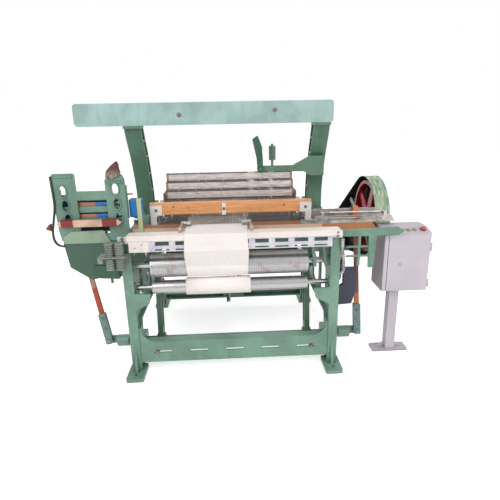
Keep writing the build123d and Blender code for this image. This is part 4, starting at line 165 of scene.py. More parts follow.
class Paint(Graph):
    """One material: its shader, the surface point in object space, and what is read from that point."""

    def __init__(self, name, colour, rough=0.5, metal=0.0, **constants):
        self.material = bpy.data.materials.new(name)
        self.material.use_nodes = True
        super().__init__(self.material.node_tree)
        self.shader = self.nodes["Principled BSDF"]
        self.set("Base Color", colour)
        self.set("Roughness", rough)
        self.set("Metallic", metal)
        for key, value in constants.items():
            self.set(key.replace("_", " "), value)
        self.spot = self.add("ShaderNodeTexCoord", {}, {}, "Object")
        self.x, self.y, self.z = self.add("ShaderNodeSeparateXYZ", {}, {0: self.spot}, "X", "Y", "Z")

    def set(self, name, value):
        self.put(self.shader.inputs[name], value)

    def stretch(self, scale):
        """The surface point scaled by a different amount along each axis."""
        return self.add("ShaderNodeVectorMath", {"operation": "MULTIPLY"}, {0: self.spot, 1: scale})

    def noise(self, scale, detail=3.0, at=None, rough=0.55):
        """Cloudy values about 0.5, read at the surface point or at a stretched one."""
        values = {"Vector": at or self.spot, "Scale": scale, "Detail": detail, "Roughness": rough}
        return self.add("ShaderNodeTexNoise", {}, values)

    def cells(self, scale):
        """The distance to the nearest of many scattered points."""
        return self.add("ShaderNodeTexVoronoi", {}, {"Vector": self.spot, "Scale": scale})

    def blend(self, amount, low, high):
        """The low colour where the amount is 0, the high one where it is 1."""
        settings = {"data_type": "RGBA", "clamp_factor": True}
        return self.add("ShaderNodeMix", settings, {0: amount, 6: low, 7: high}, 2)

    def corners(self, reach, low, high):
        """Where shade falls in corners, by ambient occlusion: 1 deep in corners, 0 in the open. What it
        darkens is painted shade. Low and high are how closed in a point is.
        """
        settings = {"samples": 4, "only_local": False}
        openness = self.add("ShaderNodeAmbientOcclusion", settings, {"Distance": reach}, "AO")
        return (1 - openness).step(low, high)

    def bump(self, height, depth, strength, under=None):
        """Relief of a height times a depth in metres, on top of another normal where one is given."""
        values = {"Height": height, "Distance": depth, "Strength": strength}
        if under:
            values["Normal"] = under
        return self.add("ShaderNodeBump", {}, values)

    def soft_edges(self, radius):
        """Normals that round off sharp edges."""
        return self.add("ShaderNodeBevel", {"samples": 3}, {"Radius": radius})


def tint(red, green, blue):
    """A colour as seen on screen, 0 to 255, in the linear values that shaders use."""
    parts = (channel / 255 for channel in (red, green, blue))
    return tuple(((part + 0.055) / 1.055) ** 2.4 if part > 0.04 else part / 12.92 for part in parts)


def shade(colour, amount):
    """A colour made darker or lighter by one factor."""
    return tuple(min(1.0, channel * amount) for channel in colour)


LEG_GREEN = tint(116, 152, 133)
# A darker copy of the leg green for the arches and the parts inside the frame: painted shade
SHADED_GREEN = tint(92, 126, 105)
BEAM_GREEN = tint(158, 188, 182)
DEEP_GREEN = tint(48, 92, 72)
GREY_GREEN = tint(128, 158, 146)
# Dark grime, and also the colour that corners are darkened to as painted shade
GRIME_AND_SHADE = tint(34, 36, 30)
BARE_STEEL = (0.34, 0.33, 0.32)
BRIGHT_STEEL = (0.47, 0.46, 0.47)
RUBBER = (0.022, 0.022, 0.024)
CREAM = tint(251, 243, 239)

# The sticks: x of the pivot, splay in degrees, the shoe bolts' distances from it, and each band's colour
# with the distance where it starts
STICKS = {
    "left": (-0.876, 11.0, (0.095, 0.168), (
        (0.0, tint(118, 150, 140)), (0.205, tint(186, 76, 46)),
        (0.395, tint(198, 140, 126)), (0.815, tint(96, 34, 28)))),
    "right": (0.878, 1.5, (0.090, 0.160), (
        (0.0, tint(112, 142, 140)), (0.205, tint(214, 122, 62)),
        (0.285, tint(138, 84, 66)), (0.815, tint(222, 130, 70)))),
}


def stick_axis(splay):
    """Along a stick, up from its pivot: leaned back, then turned outward by the splay in degrees."""
    turn = math.radians(splay)
    return -math.sin(turn), math.sin(STICK_LEAN) * math.cos(turn), math.cos(STICK_LEAN) * math.cos(turn)


def enamel(name, colour, grime_and_shade, wear, rough=0.38):
    """Brushed enamel on castings: uneven coats, painted shade and oily soiling in corners, dark splashes,
    small chips down to dark iron.
    """
    paint = Paint(name, colour, rough)
    grain = 0.0006
    patches = paint.noise(5.0, 4.0)
    tone = paint.blend(patches.step(0.3, 0.7), shade(colour, 0.82), shade(colour, 1.14))
    runs = paint.noise(9.0, 3.0, paint.stretch((3.0, 3.0, 0.5)))
    tone = paint.blend(runs.step(0.52, 0.75) * 0.35, tone, shade(colour, 0.6))
    # Painted shade: corners found by ambient occlusion, broken up by noise, darken along with oily soiling;
    # the splashes are soiling only
    dirt_and_shade = paint.corners(0.03, 0.12, 0.75) * paint.noise(22.0).step(0.25, 0.6) * grime_and_shade
    splash = paint.noise(38.0, 5.0).step(0.62, 0.72) * grime_and_shade * 0.5
    tone = paint.blend(dirt_and_shade.most(splash), tone, GRIME_AND_SHADE)
    flakes = paint.noise(70.0, 6.0, rough=0.7).step(0.665 - 0.03 * wear, 0.685)
    chips = flakes * paint.noise(7.0).step(0.5, 0.62) * wear
    tone = paint.blend(chips, tone, tint(70, 62, 56))
    paint.set("Base Color", tone)
    paint.set("Roughness", dirt_and_shade * 0.15 + patches * 0.2 + (rough - 0.1))
    height = paint.noise(160.0, 3.0) * grain + paint.noise(28.0) * 2 * grain - chips * 0.0004
    paint.set("Normal", paint.bump(height, 1.0, 0.7, paint.soft_edges(0.0025)))
    return paint.material


def turned_steel(name):
    """Steel turned round the X axis: fine rings, oil film, faint rust and painted shade in corners."""
    paint = Paint(name, BRIGHT_STEEL, 0.26, 1.0)
    rings = paint.noise(60.0, 4.0, paint.stretch((18.0, 0.4, 0.4)))
    blotch = paint.noise(11.0, 4.0)
    tone = paint.blend(rings, shade(BRIGHT_STEEL, 0.74), shade(BRIGHT_STEEL, 1.12))
    stain = blotch.step(0.55, 0.72) * 0.25
    tone = paint.blend(stain, tone, tint(128, 92, 68))
    # Painted shade: corners darken by ambient occlusion
    dirt_and_shade = paint.corners(0.015, 0.2, 0.8) * 0.7
    paint.set("Base Color", paint.blend(dirt_and_shade, tone, GRIME_AND_SHADE))
    paint.set("Roughness", rings * 0.16 + stain * 0.3 + 0.20)
    paint.set("Normal", paint.bump(rings, 0.00015, 0.5, paint.soft_edges(0.001)))
    return paint.material


def rolled_steel(name, colour=BARE_STEEL, rough=0.4, rust=0.4):
    """Worn flat steel: scratches along X, brown stains and painted shade in corners."""
    paint = Paint(name, colour, rough, 0.85)
    scratch = paint.noise(35.0, 5.0, paint.stretch((0.6, 6.0, 6.0)), 0.65)
    blotch = paint.noise(16.0, 4.0)
    tone = paint.blend(scratch.step(0.3, 0.7), shade(colour, 0.65), shade(colour, 1.5))
    tone = paint.blend(blotch.step(0.52, 0.68) * rust, tone, tint(120, 84, 66))
    # Painted shade: corners darken by ambient occlusion
    dirt_and_shade = paint.corners(0.015, 0.15, 0.8) * 0.8
    paint.set("Base Color", paint.blend(dirt_and_shade, tone, GRIME_AND_SHADE))
    paint.set("Roughness", scratch * 0.25 + rough - 0.1)
    paint.set("Normal", paint.bump(scratch, 0.0002, 0.5, paint.soft_edges(0.001)))
    return paint.material


def grained_wood(name, pale, dark):
    """Varnished wood along X: long grain lines bent by a slow wave, pores, soiling from hands, and painted
    shade in corners.
    """
    paint = Paint(name, pale, 0.34, 0.0, Coat_Roughness=0.2)
    stretched = paint.stretch((0.6, 9.0, 9.0))
    wave = paint.noise(6.0, 4.0, stretched)
    lines = paint.noise(24.0, 5.0, stretched, 0.7)
    tone = paint.blend(wave.step(0.3, 0.7), pale, shade(pale, 0.78))
    tone = paint.blend(lines.step(0.5, 0.72) * 0.6, tone, dark)
    # Painted shade in corners by ambient occlusion, plus noise patches of soiling from hands
    dirt_and_shade = paint.corners(0.02, 0.2, 0.8) * 0.6 + paint.noise(14.0).step(0.6, 0.75) * 0.35
    paint.set("Base Color", paint.blend(dirt_and_shade, tone, shade(dark, 0.35)))
    paint.set("Roughness", lines * 0.2 + 0.26)
    paint.set("Coat Weight", (1 - dirt_and_shade) * 0.4)
    paint.set("Normal", paint.bump(lines, 0.0002, 0.6, paint.soft_edges(0.002)))
    return paint.material


def sheet_paint(name, colour, rough, grime_and_shade):
    """Sprayed sheet metal: a fine even grain, handling marks, and painted shade in corners."""
    paint = Paint(name, colour, rough)
    cloud = paint.noise(6.0, 4.0)
    tone = paint.blend(cloud.step(0.3, 0.7), shade(colour, 0.9), shade(colour, 1.05))
    marks = paint.noise(30.0, 5.0, paint.stretch((1.0, 1.0, 0.35)), 0.7).step(0.6, 0.74) * grime_and_shade
    # Painted shade: corners darken by ambient occlusion
    dirt_and_shade = paint.corners(0.02, 0.25, 0.85) * grime_and_shade
    tone = paint.blend(marks.most(dirt_and_shade), tone, shade(colour, 0.32))
    paint.set("Base Color", tone)
    paint.set("Roughness", cloud * 0.12 + rough - 0.05)
    paint.set("Normal", paint.bump(paint.noise(700.0, 2.0), 0.0001, 0.4, paint.soft_edges(0.0015)))
    return paint.material


def plain_rubber(name):
    """Black rubber, greyed by dust in patches."""
    paint = Paint(name, RUBBER, 0.62)
    dust = paint.noise(25.0, 5.0)
    paint.set("Base Color", paint.blend(dust.step(0.45, 0.75) * 0.5, RUBBER, (0.08, 0.075, 0.07)))
    paint.set("Roughness", dust * 0.2 + 0.5)
    paint.set("Normal", paint.bump(paint.noise(300.0), 0.0002, 0.5))
    return paint.material


def moulded(name, colour):
    """Glossy moulded plastic with a faint cloud in its colour."""
    paint = Paint(name, colour, 0.3, Coat_Weight=0.3)
    cloud = paint.noise(60.0)
    paint.set("Base Color", paint.blend(cloud, shade(colour, 0.88), shade(colour, 1.08)))
    paint.set("Roughness", cloud * 0.15 + 0.25)
    return paint.material


def belt_leather(name, colour):
    """Oiled leather: pores, creases, and painted shade darkening its corners."""
    paint = Paint(name, colour, 0.48)
    pores = paint.cells(900.0)
    crease = paint.noise(45.0, 5.0)
    tone = paint.blend(crease.step(0.35, 0.7), shade(colour, 0.55), shade(colour, 1.25))
    # Painted shade: corners darken by ambient occlusion
    paint.set("Base Color", paint.blend(paint.corners(0.01, 0.2, 0.8) * 0.6, tone, GRIME_AND_SHADE))
    paint.set("Roughness", crease * 0.3 + 0.32)
    paint.set("Normal", paint.bump(pores * 0.3 + crease, 0.0006, 0.6))
    return paint.material


def woven(name, colour):
    """Plain weave read from the piece's own map: one thread each 0.9 mm, over and under in turn."""
    paint = Paint(name, colour, 0.85, Sheen_Weight=0.25, Sheen_Roughness=0.5)
    thread = 0.0009
    chart = paint.add("ShaderNodeUVMap", {"uv_map": "Run"}, {})
    across, along = ((place * (math.pi / thread)).sine()
                     for place in paint.add("ShaderNodeSeparateXYZ", {}, {0: chart}, "X", "Y"))
    weave = across * along
    threads = across.size().most(along.size())
    bars = paint.noise(1.0, 4.0, paint.stretch((4.0, 160.0, 160.0)))
    cloud = paint.noise(7.0, 3.0)
    tone = paint.blend(bars.step(0.35, 0.7) * 0.5, colour, shade(colour, 0.9))
    tone = paint.blend(cloud.step(0.5, 0.8) * 0.4, tone, tint(240, 226, 219))
    tone = paint.blend(threads.below(0.2, 0.8) * 0.25, tone, shade(colour, 0.7))
    paint.set("Base Color", tone)
    paint.set("Normal", paint.bump(weave * 0.5 + threads, 0.00025, 0.5))
    return paint.material


def yarn(name, colour):
    """Threads side by side along the warp, 1.1 mm apart, with gaps between them."""
    paint = Paint(name, colour, 0.8, Sheen_Weight=0.2)
    pitch = 0.0011
    turn = (paint.x * (2 * math.pi / pitch)).sine()
    fuzz = paint.noise(90.0, 3.0, paint.stretch((12.0, 0.6, 0.6)))
    tone = paint.blend(turn.step(-1.0, 0.3), shade(colour, 0.62), colour)
    paint.set("Base Color", paint.blend(fuzz.step(0.4, 0.75) * 0.4, tone, shade(colour, 0.75)))
    paint.set("Normal", paint.bump(turn + fuzz, 0.0003, 0.5))
    return paint.material


def cotton(name, colour):
    """Spun yarn: a soft sheen, with slubs along it and faint dust."""
    paint = Paint(name, colour, 0.8, Sheen_Weight=0.3)
    slubs = paint.noise(70.0, 4.0, paint.stretch((14.0, 0.5, 0.5)))
    paint.set("Base Color", paint.blend(slubs.step(0.3, 0.75), colour, shade(colour, 0.72)))
    paint.set("Roughness", slubs * 0.2 + 0.7)
    return paint.material


def two_colour_enamel(name, base, marked, mask):
    """Enamel in two colours. mask is a function of the paint that is 1 where the second colour lies."""
    paint = Paint(name, base, 0.42)
    patches = paint.noise(7.0, 4.0)
    tone = paint.blend(mask(paint), base, marked)
    tone = paint.blend(patches.step(0.35, 0.7) * 0.35, tone, GRIME_AND_SHADE)
    # Painted shade in corners by ambient occlusion, plus noise patches of soiling
    dirt_and_shade = paint.corners(0.025, 0.15, 0.8) * 0.5 + paint.noise(40.0, 5.0).step(0.6, 0.72) * 0.3
    paint.set("Base Color", paint.blend(dirt_and_shade, tone, GRIME_AND_SHADE))
    paint.set("Roughness", patches * 0.25 + 0.32)
    paint.set("Normal", paint.bump(paint.noise(150.0, 3.0), 0.0005, 0.6, paint.soft_edges(0.002)))
    return paint.material


# Finishes for one piece each. Their masks say in metres where a colour begins and ends on the part.

def box_guard_paint():
    """Pale sheet before a dark casting, the wooden bar with red-brown ends, the blue block and its strap."""
    paint = Paint("box_guard_finish", LEG_GREEN, 0.45)
    bar = paint.z.step(0.9655, 0.9665) * paint.y.below(-0.3515, -0.3505)
    cover = paint.y.below(-0.3454, -0.3450) * paint.z.below(0.945, 0.947)
    strap = paint.x.step(-0.6008, -0.6004) * paint.y.below(-0.3102, -0.3098)
    block = paint.z.step(1.000, 1.002) * paint.y.step(-0.3120, -0.3110) * (1 - strap)
    cloud = paint.noise(9.0, 4.0)
    tone = paint.blend(cover, tint(66, 96, 80), tint(150, 172, 148))
    grain = paint.noise(30.0, 4.0, paint.stretch((0.6, 8.0, 8.0)))
    ends = paint.x.within(-1.072, -0.995).most(paint.x.within(-0.815, -0.722))
    wood = paint.blend(grain, tint(206, 160, 132), tint(240, 208, 182))
    wood = paint.blend(ends, wood, paint.blend(grain, tint(96, 28, 26), tint(160, 60, 50)))
    tone = paint.blend(bar, tone, wood)
    tone = paint.blend(block, tone, tint(30, 120, 196))
    tone = paint.blend(strap, tone, tint(190, 200, 150))
    tone = paint.blend(cloud.step(0.5, 0.75) * 0.35, tone, GRIME_AND_SHADE)
    # Painted shade: corners darken by ambient occlusion
    dirt_and_shade = paint.corners(0.03, 0.15, 0.8) * 0.6
    paint.set("Base Color", paint.blend(dirt_and_shade, tone, GRIME_AND_SHADE))
    paint.set("Roughness", cloud * 0.3 + 0.3)
    paint.set("Normal", paint.bump(paint.noise(120.0) + grain, 0.0004, 0.6, paint.soft_edges(0.002)))
    return paint.material


def guard_inside(paint):
    """1 inside the guard's sheet, by the distance to the hull of two circles in YZ, drawn in by half the
    sheet."""
    start, end = (0.210, 0.850), (0.820, 0.600)
    big, small = 0.315, 0.200
    length = math.hypot(end[0] - start[0], end[1] - start[1])
    along = ((end[0] - start[0]) / length, (end[1] - start[1]) / length)
    slope = (big - small) / length
    level = math.sqrt(1 - slope * slope)
    y, z = paint.y - start[0], paint.z - start[1]
    travel = y * along[0] + z * along[1]
    aside = (z * along[0] - y * along[1]).size()
    share = ((travel * level - aside * slope) / (length * level)).most(0.0).least(1.0)
    ahead = travel - share * length
    distance = (ahead * ahead + aside * aside).root() - (share * (small - big) + big)
    return distance.below(-0.0026, -0.0014) * paint.x.below(1.1455, 1.1465)


def drive_guard_paint():
    """Green sheet with pale runs on its rim, calmer on its flat face, and near black inside as painted shade
    of the hollow.
    """
    paint = Paint("guard_finish", tint(140, 172, 146), 0.4)
    runs = paint.noise(7.0, 4.0, paint.stretch((9.0, 3.0, 0.8)))
    cloud = paint.noise(6.0, 4.0)
    rim = 1 - paint.x.step(1.1462, 1.1470) * 0.82
    tone = paint.blend(runs.step(0.40, 0.70) * rim, tint(118, 152, 126), tint(196, 206, 172))
    tone = paint.blend(cloud.step(0.55, 0.75) * 0.3, tone, GRIME_AND_SHADE)
    # Painted shade: the inside of the guard's sheet goes near black
    inside = guard_inside(paint)
    tone = paint.blend(inside, tone, paint.blend(cloud, tint(14, 14, 14), tint(38, 34, 30)))
    paint.set("Base Color", tone)
    paint.set("Roughness", cloud * 0.3 + inside * 0.2 + 0.25)
    paint.set("Normal", paint.bump(paint.noise(120.0, 3.0), 0.0004, 0.6, paint.soft_edges(0.002)))
    return paint.material


def red_leather():
    """Cracked leather with dark red runs, paler towards its foot."""
    paint = Paint("picker_leather", tint(98, 36, 30), 0.5)
    streaks = paint.noise(26.0, 5.0, paint.stretch((7.0, 1.0, 0.8)), 0.7)
    high = paint.z.step(1.275, 1.335)
    tone = paint.blend(streaks.step(0.42, 0.6), tint(160, 172, 150), tint(96, 40, 34))
    tone = paint.blend(high, tone, paint.blend(streaks, tint(26, 16, 14), tint(112, 40, 32)))
    paint.set("Base Color", tone)
    paint.set("Roughness", streaks * 0.4 + 0.3)
    paint.set("Normal", paint.bump(streaks, 0.0012, 0.7))
    return paint.material


def stick_paint(name, pivot_x, splay, bands):
    """A picking stick by distance from its pivot: shoe, then the wood's bands, then the leather picker."""
    first = bands[0][1]
    paint = Paint(name, first, 0.45)
    up = stick_axis(splay)
    reach = ((paint.x - pivot_x) * up[0] + (paint.y - STICK_PIVOT[0]) * up[1]
             + (paint.z - STICK_PIVOT[1]) * up[2])
    grain = paint.noise(26.0, 5.0, paint.stretch((9.0, 9.0, 0.7)), 0.7)
    tone = first
    for start, colour in bands[1:]:
        tone = paint.blend(reach.step(start - 0.003, start + 0.003), tone, colour)
    tone = paint.blend(grain.step(0.45, 0.75) * 0.45, tone, tint(60, 30, 24))
    # Painted shade in corners by ambient occlusion, plus noise patches of soiling
    dirt_and_shade = paint.corners(0.02, 0.2, 0.8) * 0.6 + paint.noise(40.0, 5.0).step(0.58, 0.7) * 0.35
    paint.set("Base Color", paint.blend(dirt_and_shade, tone, GRIME_AND_SHADE))
    paint.set("Roughness", grain * 0.3 + 0.3)
    paint.set("Normal", paint.bump(grain, 0.0004, 0.6, paint.soft_edges(0.002)))
    return paint.material


def shuttle_paint():
    """Lacquered wood: blue towards both ends, brown in the middle, steel tips."""
    paint = Paint("shuttle_finish", tint(32, 112, 186), 0.25, Coat_Weight=0.5)
    grain = paint.noise(24.0, 4.0, paint.stretch((0.7, 9.0, 9.0)))
    wood = paint.blend(grain, tint(150, 92, 66), tint(196, 138, 104))
    blue = paint.x.step(-0.862, -0.858).most(paint.x.below(-1.012, -1.008))
    tone = paint.blend(blue, wood, tint(34, 110, 184))
    tips = paint.x.step(-0.722, -0.720).most(paint.x.below(-1.052, -1.050))
    paint.set("Base Color", paint.blend(tips, tone, BRIGHT_STEEL))
    paint.set("Metallic", tips)
    paint.set("Roughness", grain * 0.2 + 0.18)
    return paint.material


def race_paint():
    """The race board: a pale worn front, redder at the right and white along its lower edge, brown on top."""
    paint = Paint("race_board_finish", tint(226, 190, 166), 0.4)
    grain = paint.noise(26.0, 5.0, paint.stretch((0.5, 9.0, 9.0)), 0.7)
    top = paint.z.step(0.9295, 0.9298)
    right = paint.x.step(0.60, 0.61)
    front = paint.blend(grain, tint(232, 204, 184), tint(204, 160, 134))
    front = paint.blend(right, front, paint.blend(grain, tint(206, 142, 92), tint(168, 104, 62)))
    edge = paint.z.below(0.903, 0.905) * (1 - right)
    front = paint.blend(edge, front, tint(238, 232, 222))
    boards = paint.blend(grain, tint(188, 130, 92), tint(140, 90, 60))
    tone = paint.blend(top, front, boards)
    # Painted shade in corners by ambient occlusion, plus noise patches of soiling
    dirt_and_shade = paint.corners(0.03, 0.2, 0.8) * 0.7 + paint.noise(20.0, 5.0).step(0.6, 0.74) * 0.3
    paint.set("Base Color", paint.blend(dirt_and_shade, tone, GRIME_AND_SHADE))
    paint.set("Roughness", grain * 0.25 + 0.3)
    paint.set("Normal", paint.bump(grain, 0.0003, 0.6, paint.soft_edges(0.002)))
    return paint.material


def cabinet_paint():
    """Grey-lilac textured powder coat, with the lamps' green lenses above the sloping panel."""
    colour = tint(199, 190, 199)
    paint = Paint("cabinet_coat", colour, 0.5)
    cloud = paint.noise(5.0, 4.0)
    tone = paint.blend(cloud.step(0.3, 0.7), shade(colour, 0.93), shade(colour, 1.03))
    marks = paint.noise(26.0, 5.0, rough=0.7).step(0.62, 0.75) * 0.25
    tone = paint.blend(marks, tone, shade(colour, 0.45))
    depth, drop, panel = 0.080, 0.026, (-0.410, 0.893)
    length = math.hypot(depth, drop)
    above = (paint.y - panel[0]) * (-drop / length) + (paint.z - panel[1]) * (depth / length)
    lens = above.step(0.0058, 0.0062)
    ring = above.step(0.0012, 0.0016)
    tone = paint.blend(ring, tone, tint(120, 120, 118))
    tone = paint.blend(lens, tone, tint(150, 176, 120))
    front = paint.y.below(-0.4510, -0.4500)
    slit = paint.x.within(1.0105, 1.0145) * front * paint.z.within(0.492, 0.866)
    tone = paint.blend(slit, tone, tint(46, 44, 48))
    # Painted shade: the case's left side face, above the plinth, is darkened
    shaded_side = paint.x.below(0.9852, 0.9858) * paint.z.step(0.480, 0.484)
    tone = paint.blend(shaded_side * 0.45, tone, shade(colour, 0.4))
    foot = paint.z.below(0.010, 0.016)
    tone = paint.blend(foot * 0.4, tone, GRIME_AND_SHADE)
    # Painted shade: corners darken by ambient occlusion
    dirt_and_shade = paint.corners(0.02, 0.3, 0.9) * 0.5
    paint.set("Base Color", paint.blend(dirt_and_shade, tone, shade(colour, 0.2)))
    paint.set("Roughness", cloud * 0.1 + 0.42 - lens * 0.25)
    pebbles = paint.cells(420.0) * (1 - ring)
    paint.set("Normal", paint.bump(pebbles, 0.00025, 0.5, paint.soft_edges(0.0015)))
    return paint.material


def sand_roller_paint():
    """Bright tube steel with a worn fillet of raised points, and rows of small dark holes round its axis."""
    paint = Paint("sand_roller_finish", BRIGHT_STEEL, 0.3, 1.0)
    rings = paint.noise(60.0, 4.0, paint.stretch((16.0, 0.4, 0.4)))
    angle = (paint.z - SAND_CENTRE[1]).angle(paint.y - SAND_CENTRE[0])
    along = (paint.x * 90.0).part() - 0.5
    around = (angle * 9.0).part() - 0.5
    hole = (along * along + around * around).below(0.03, 0.08) * paint.x.within(-0.50, 0.47)
    blotch = paint.noise(13.0, 5.0)
    tone = paint.blend(rings, shade(BRIGHT_STEEL, 0.72), shade(BRIGHT_STEEL, 1.15))
    tone = paint.blend(blotch.step(0.48, 0.66) * 0.55, tone, tint(150, 122, 104))
    tone = paint.blend(hole * 0.75, tone, tint(60, 48, 42))
    paint.set("Base Color", tone)
    paint.set("Metallic", 1 - hole * 0.6)
    paint.set("Roughness", rings * 0.2 + blotch * 0.2 + 0.14)
    paint.set("Normal", paint.bump(rings * 0.1 - hole, 0.0006, 0.6))
    return paint.material


def heald_paint():
    """Streaked sheet steel, with brown ends and a broken dark band of painted shade at the foot of each upper
    bar, where the stacked bars meet.
    """
    paint = Paint("heald_bar_finish", tint(214, 208, 208), 0.35, 0.35)
    streak = paint.noise(30.0, 4.0, paint.stretch((0.5, 6.0, 6.0)))
    tone = paint.blend(streak.step(0.35, 0.75), tint(226, 218, 214), tint(172, 162, 158))
    # Painted shade between the stacked bars: a dark band every heald step up from the first bar's foot,
    # broken by noise along X
    foot = ((paint.z - HEALD_BAR_Z) * (1 / HEALD_STEP)).part().within(-0.1, 0.20, 0.03)
    bar_foot_shade = foot * paint.z.step(1.060, 1.061)
    bar_foot_shade = bar_foot_shade * paint.noise(9.0, 3.0, paint.stretch((1.0, 0.1, 0.1))).step(0.36, 0.46)
    tone = paint.blend(bar_foot_shade * 0.85, tone, tint(64, 54, 50))
    tone = paint.blend(paint.x.size().step(0.436, 0.440) * 0.75, tone, tint(150, 84, 76))
    paint.set("Base Color", tone)
    paint.set("Roughness", streak * 0.2 + 0.28)
    return paint.material


# Finishes of the CAD nodes

def dress(material, *names):
    """Gives CAD nodes one material, in place of what they came with."""
    for name in names:
        shape = nodes[name]
        shape.data.materials.clear()
        shape.data.materials.append(material)


dress(enamel("leg_enamel", LEG_GREEN, 0.55, 0.5),
      "side_frame_right", "side_frame_left", "girders", "drive_brackets")
# Painted shade: the arches and the parts inside the frame get the darker copy of the leg green
dress(enamel("shaded_enamel", SHADED_GREEN, 0.7, 0.6),
      "arch_legs", "rear_brackets", "heald_guides", "lay_swords", "crank_arm_right", "crank_arm_left")
dress(enamel("beam_enamel", BEAM_GREEN, 0.2, 0.25, 0.34), "top_beam")
dress(enamel("tower_enamel", tint(110, 144, 128), 0.55, 0.5), "box_towers", "drop_box")
dress(drive_guard_paint(), "drive_guard")
# Painted reflection: the breast beam is leg green with its front face pale lilac white, standing for light
# off its polished front
dress(two_colour_enamel("breast_beam_enamel_and_reflection", LEG_GREEN, tint(226, 222, 234),
                lambda paint: paint.y.below(-0.5698, -0.5692)), "breast_beam")
dress(two_colour_enamel("stop_case_enamel", LEG_GREEN, tint(52, 54, 78),
                lambda paint: paint.y.step(-0.470, -0.462)), "picking_guard")
dress(two_colour_enamel("spring_steel", tint(150, 158, 146), DEEP_GREEN,
                lambda paint: paint.z.below(0.758, 0.760)), "buffer_springs")
dress(enamel("deep_enamel", DEEP_GREEN, 0.7, 0.5),
      "levelling_lever", "change_gear", "treadle_1", "treadle_2", "treadle_3", "warp_beam")
dress(enamel("foot_enamel", GREY_GREEN, 0.6, 0.5), "rocking_shaft")
dress(box_guard_paint(), "box_guards")
dress(turned_steel("shaft_steel"), "shaft_bushes", "crankshaft", "bottom_shaft", "bottom_gear",
      "motor_pulley", "studs_and_temples", "back_rest", "cloth_roller")
dress(rolled_steel("worn_steel"), "take_up_pawl", "starting_handle")
dress(rolled_steel("rail_steel", (0.50, 0.47, 0.45), 0.34, 0.5), "shuttle_box_right")
dress(sand_roller_paint(), "sand_roller")
# Painted reflection: the breast cover's pale cream stands for light off its cloth-polished steel
dress(sheet_paint("cover_reflection_white", tint(244, 232, 225), 0.4, 0.3), "breast_cover")
dress(sheet_paint("plate_white", tint(236, 232, 228), 0.4, 0.35), "rail_posts")
dress(enamel("wheel_red", tint(158, 20, 30), 0.5, 0.3, 0.3), "drive_wheel")
dress(plain_rubber("belt_black"), "drive_belt")
dress(enamel("motor_enamel", tint(52, 82, 110), 0.5, 0.3), "motor")
dress(race_paint(), "race_board")
dress(grained_wood("rail_wood", tint(238, 166, 108), tint(164, 92, 44)), "hand_rail")
dress(shuttle_paint(), "shuttles")
dress(cabinet_paint(), "control_cabinet", "cabinet_door")
dress(moulded("button_lens", tint(150, 176, 118)), "button_1", "button_2")
dress(moulded("stop_red", tint(196, 40, 38)), "stop_button")
for side, (pivot_x, splay, _, bands) in STICKS.items():
    dress(stick_paint(side + "_stick_finish", pivot_x, splay, bands), "picking_stick_" + side)
heald_finish = heald_paint()
dress(heald_finish, "heald_frame_1", "heald_frame_2", "heald_frame_3")
reed_steel = rolled_steel("reed_steel", (0.33, 0.33, 0.34), 0.3, 0.1)
dress(reed_steel, "reed")
warp_finish = yarn("warp_threads", tint(238, 228, 214))
dress(warp_finish, "warp_yarn", "warp_sheet")
cloth_finish = woven("cloth_weave", CREAM)


# Shapes

def shown_as(name, data):
    """A new object in the scene for a mesh, a camera or a light."""
    piece = bpy.data.objects.new(name, data)
    bpy.context.scene.collection.objects.link(piece)
    return piece


def skin(name, points, thick=0.0, chart=None):
    """A mesh from a grid of points, rows by columns, with a face between each four neighbours. chart gives
    each point its place on the flat cloth, and thick is a wall grown inward."""
    rows, columns = points.shape[:2]
    mesh = bpy.data.meshes.new(name)
    index = np.arange(rows * columns).reshape(rows, columns)
    quads = np.stack([index[:-1, :-1], index[:-1, 1:], index[1:, 1:], index[1:, :-1]], axis=-1)
    mesh.from_pydata(points.reshape(-1, 3).tolist(), [], quads.reshape(-1, 4).tolist())
    mesh.polygons.foreach_set("use_smooth", np.ones(len(mesh.polygons), dtype=bool))
    if chart is not None:
        layer = mesh.uv_layers.new(name="Run")
        corners = np.zeros(len(mesh.loops), dtype=np.int32)
        mesh.loops.foreach_get("vertex_index", corners)
        layer.data.foreach_set("uv", chart.reshape(-1, 2)[corners].astype(np.float32).ravel())
    mesh.update()
    piece = shown_as(name, mesh)
    if thick:
        wall = piece.modifiers.new("wall", "SOLIDIFY")
        wall.thickness = thick
        wall.offset = -1.0
    return piece


def finished(piece, material, body, *replaced):
    """A piece with its material, carried by a body, in place of the nodes that are named."""
    piece.data.materials.append(material)
    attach(piece, body)
    if replaced:
        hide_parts(*replaced)
    return piece


def smooth_path(points, count):
    """Points spread evenly along the straight runs between the given ones, and how far along each lies."""
    points = np.asarray(points, dtype=float)
    gaps = np.linalg.norm(np.diff(points, axis=0), axis=1)
    travel = np.concatenate([[0.0], np.cumsum(gaps)])
    places = np.linspace(0.0, travel[-1], count)
    axes = [np.interp(places, travel, points[:, axis]) for axis in range(points.shape[1])]
    return np.stack(axes, axis=1), places


def arc(centre, radius, first, last, count):
    """Points on a circle in YZ from one angle to another, in degrees from +Y towards +Z."""
    turn = np.radians(np.linspace(first, last, count))
    return np.array(centre) + radius * np.stack([np.cos(turn), np.sin(turn)], axis=1)


def fan(x, y, z):
    """Lines shaped (lines, points, 3). Each line has its own x, and all share the points in y and z."""
    return np.stack(np.broadcast_arrays(x[:, None], y, z), axis=-1)


# Cloth from the fell over the breast cover, down its front and round the sand roller to the nip

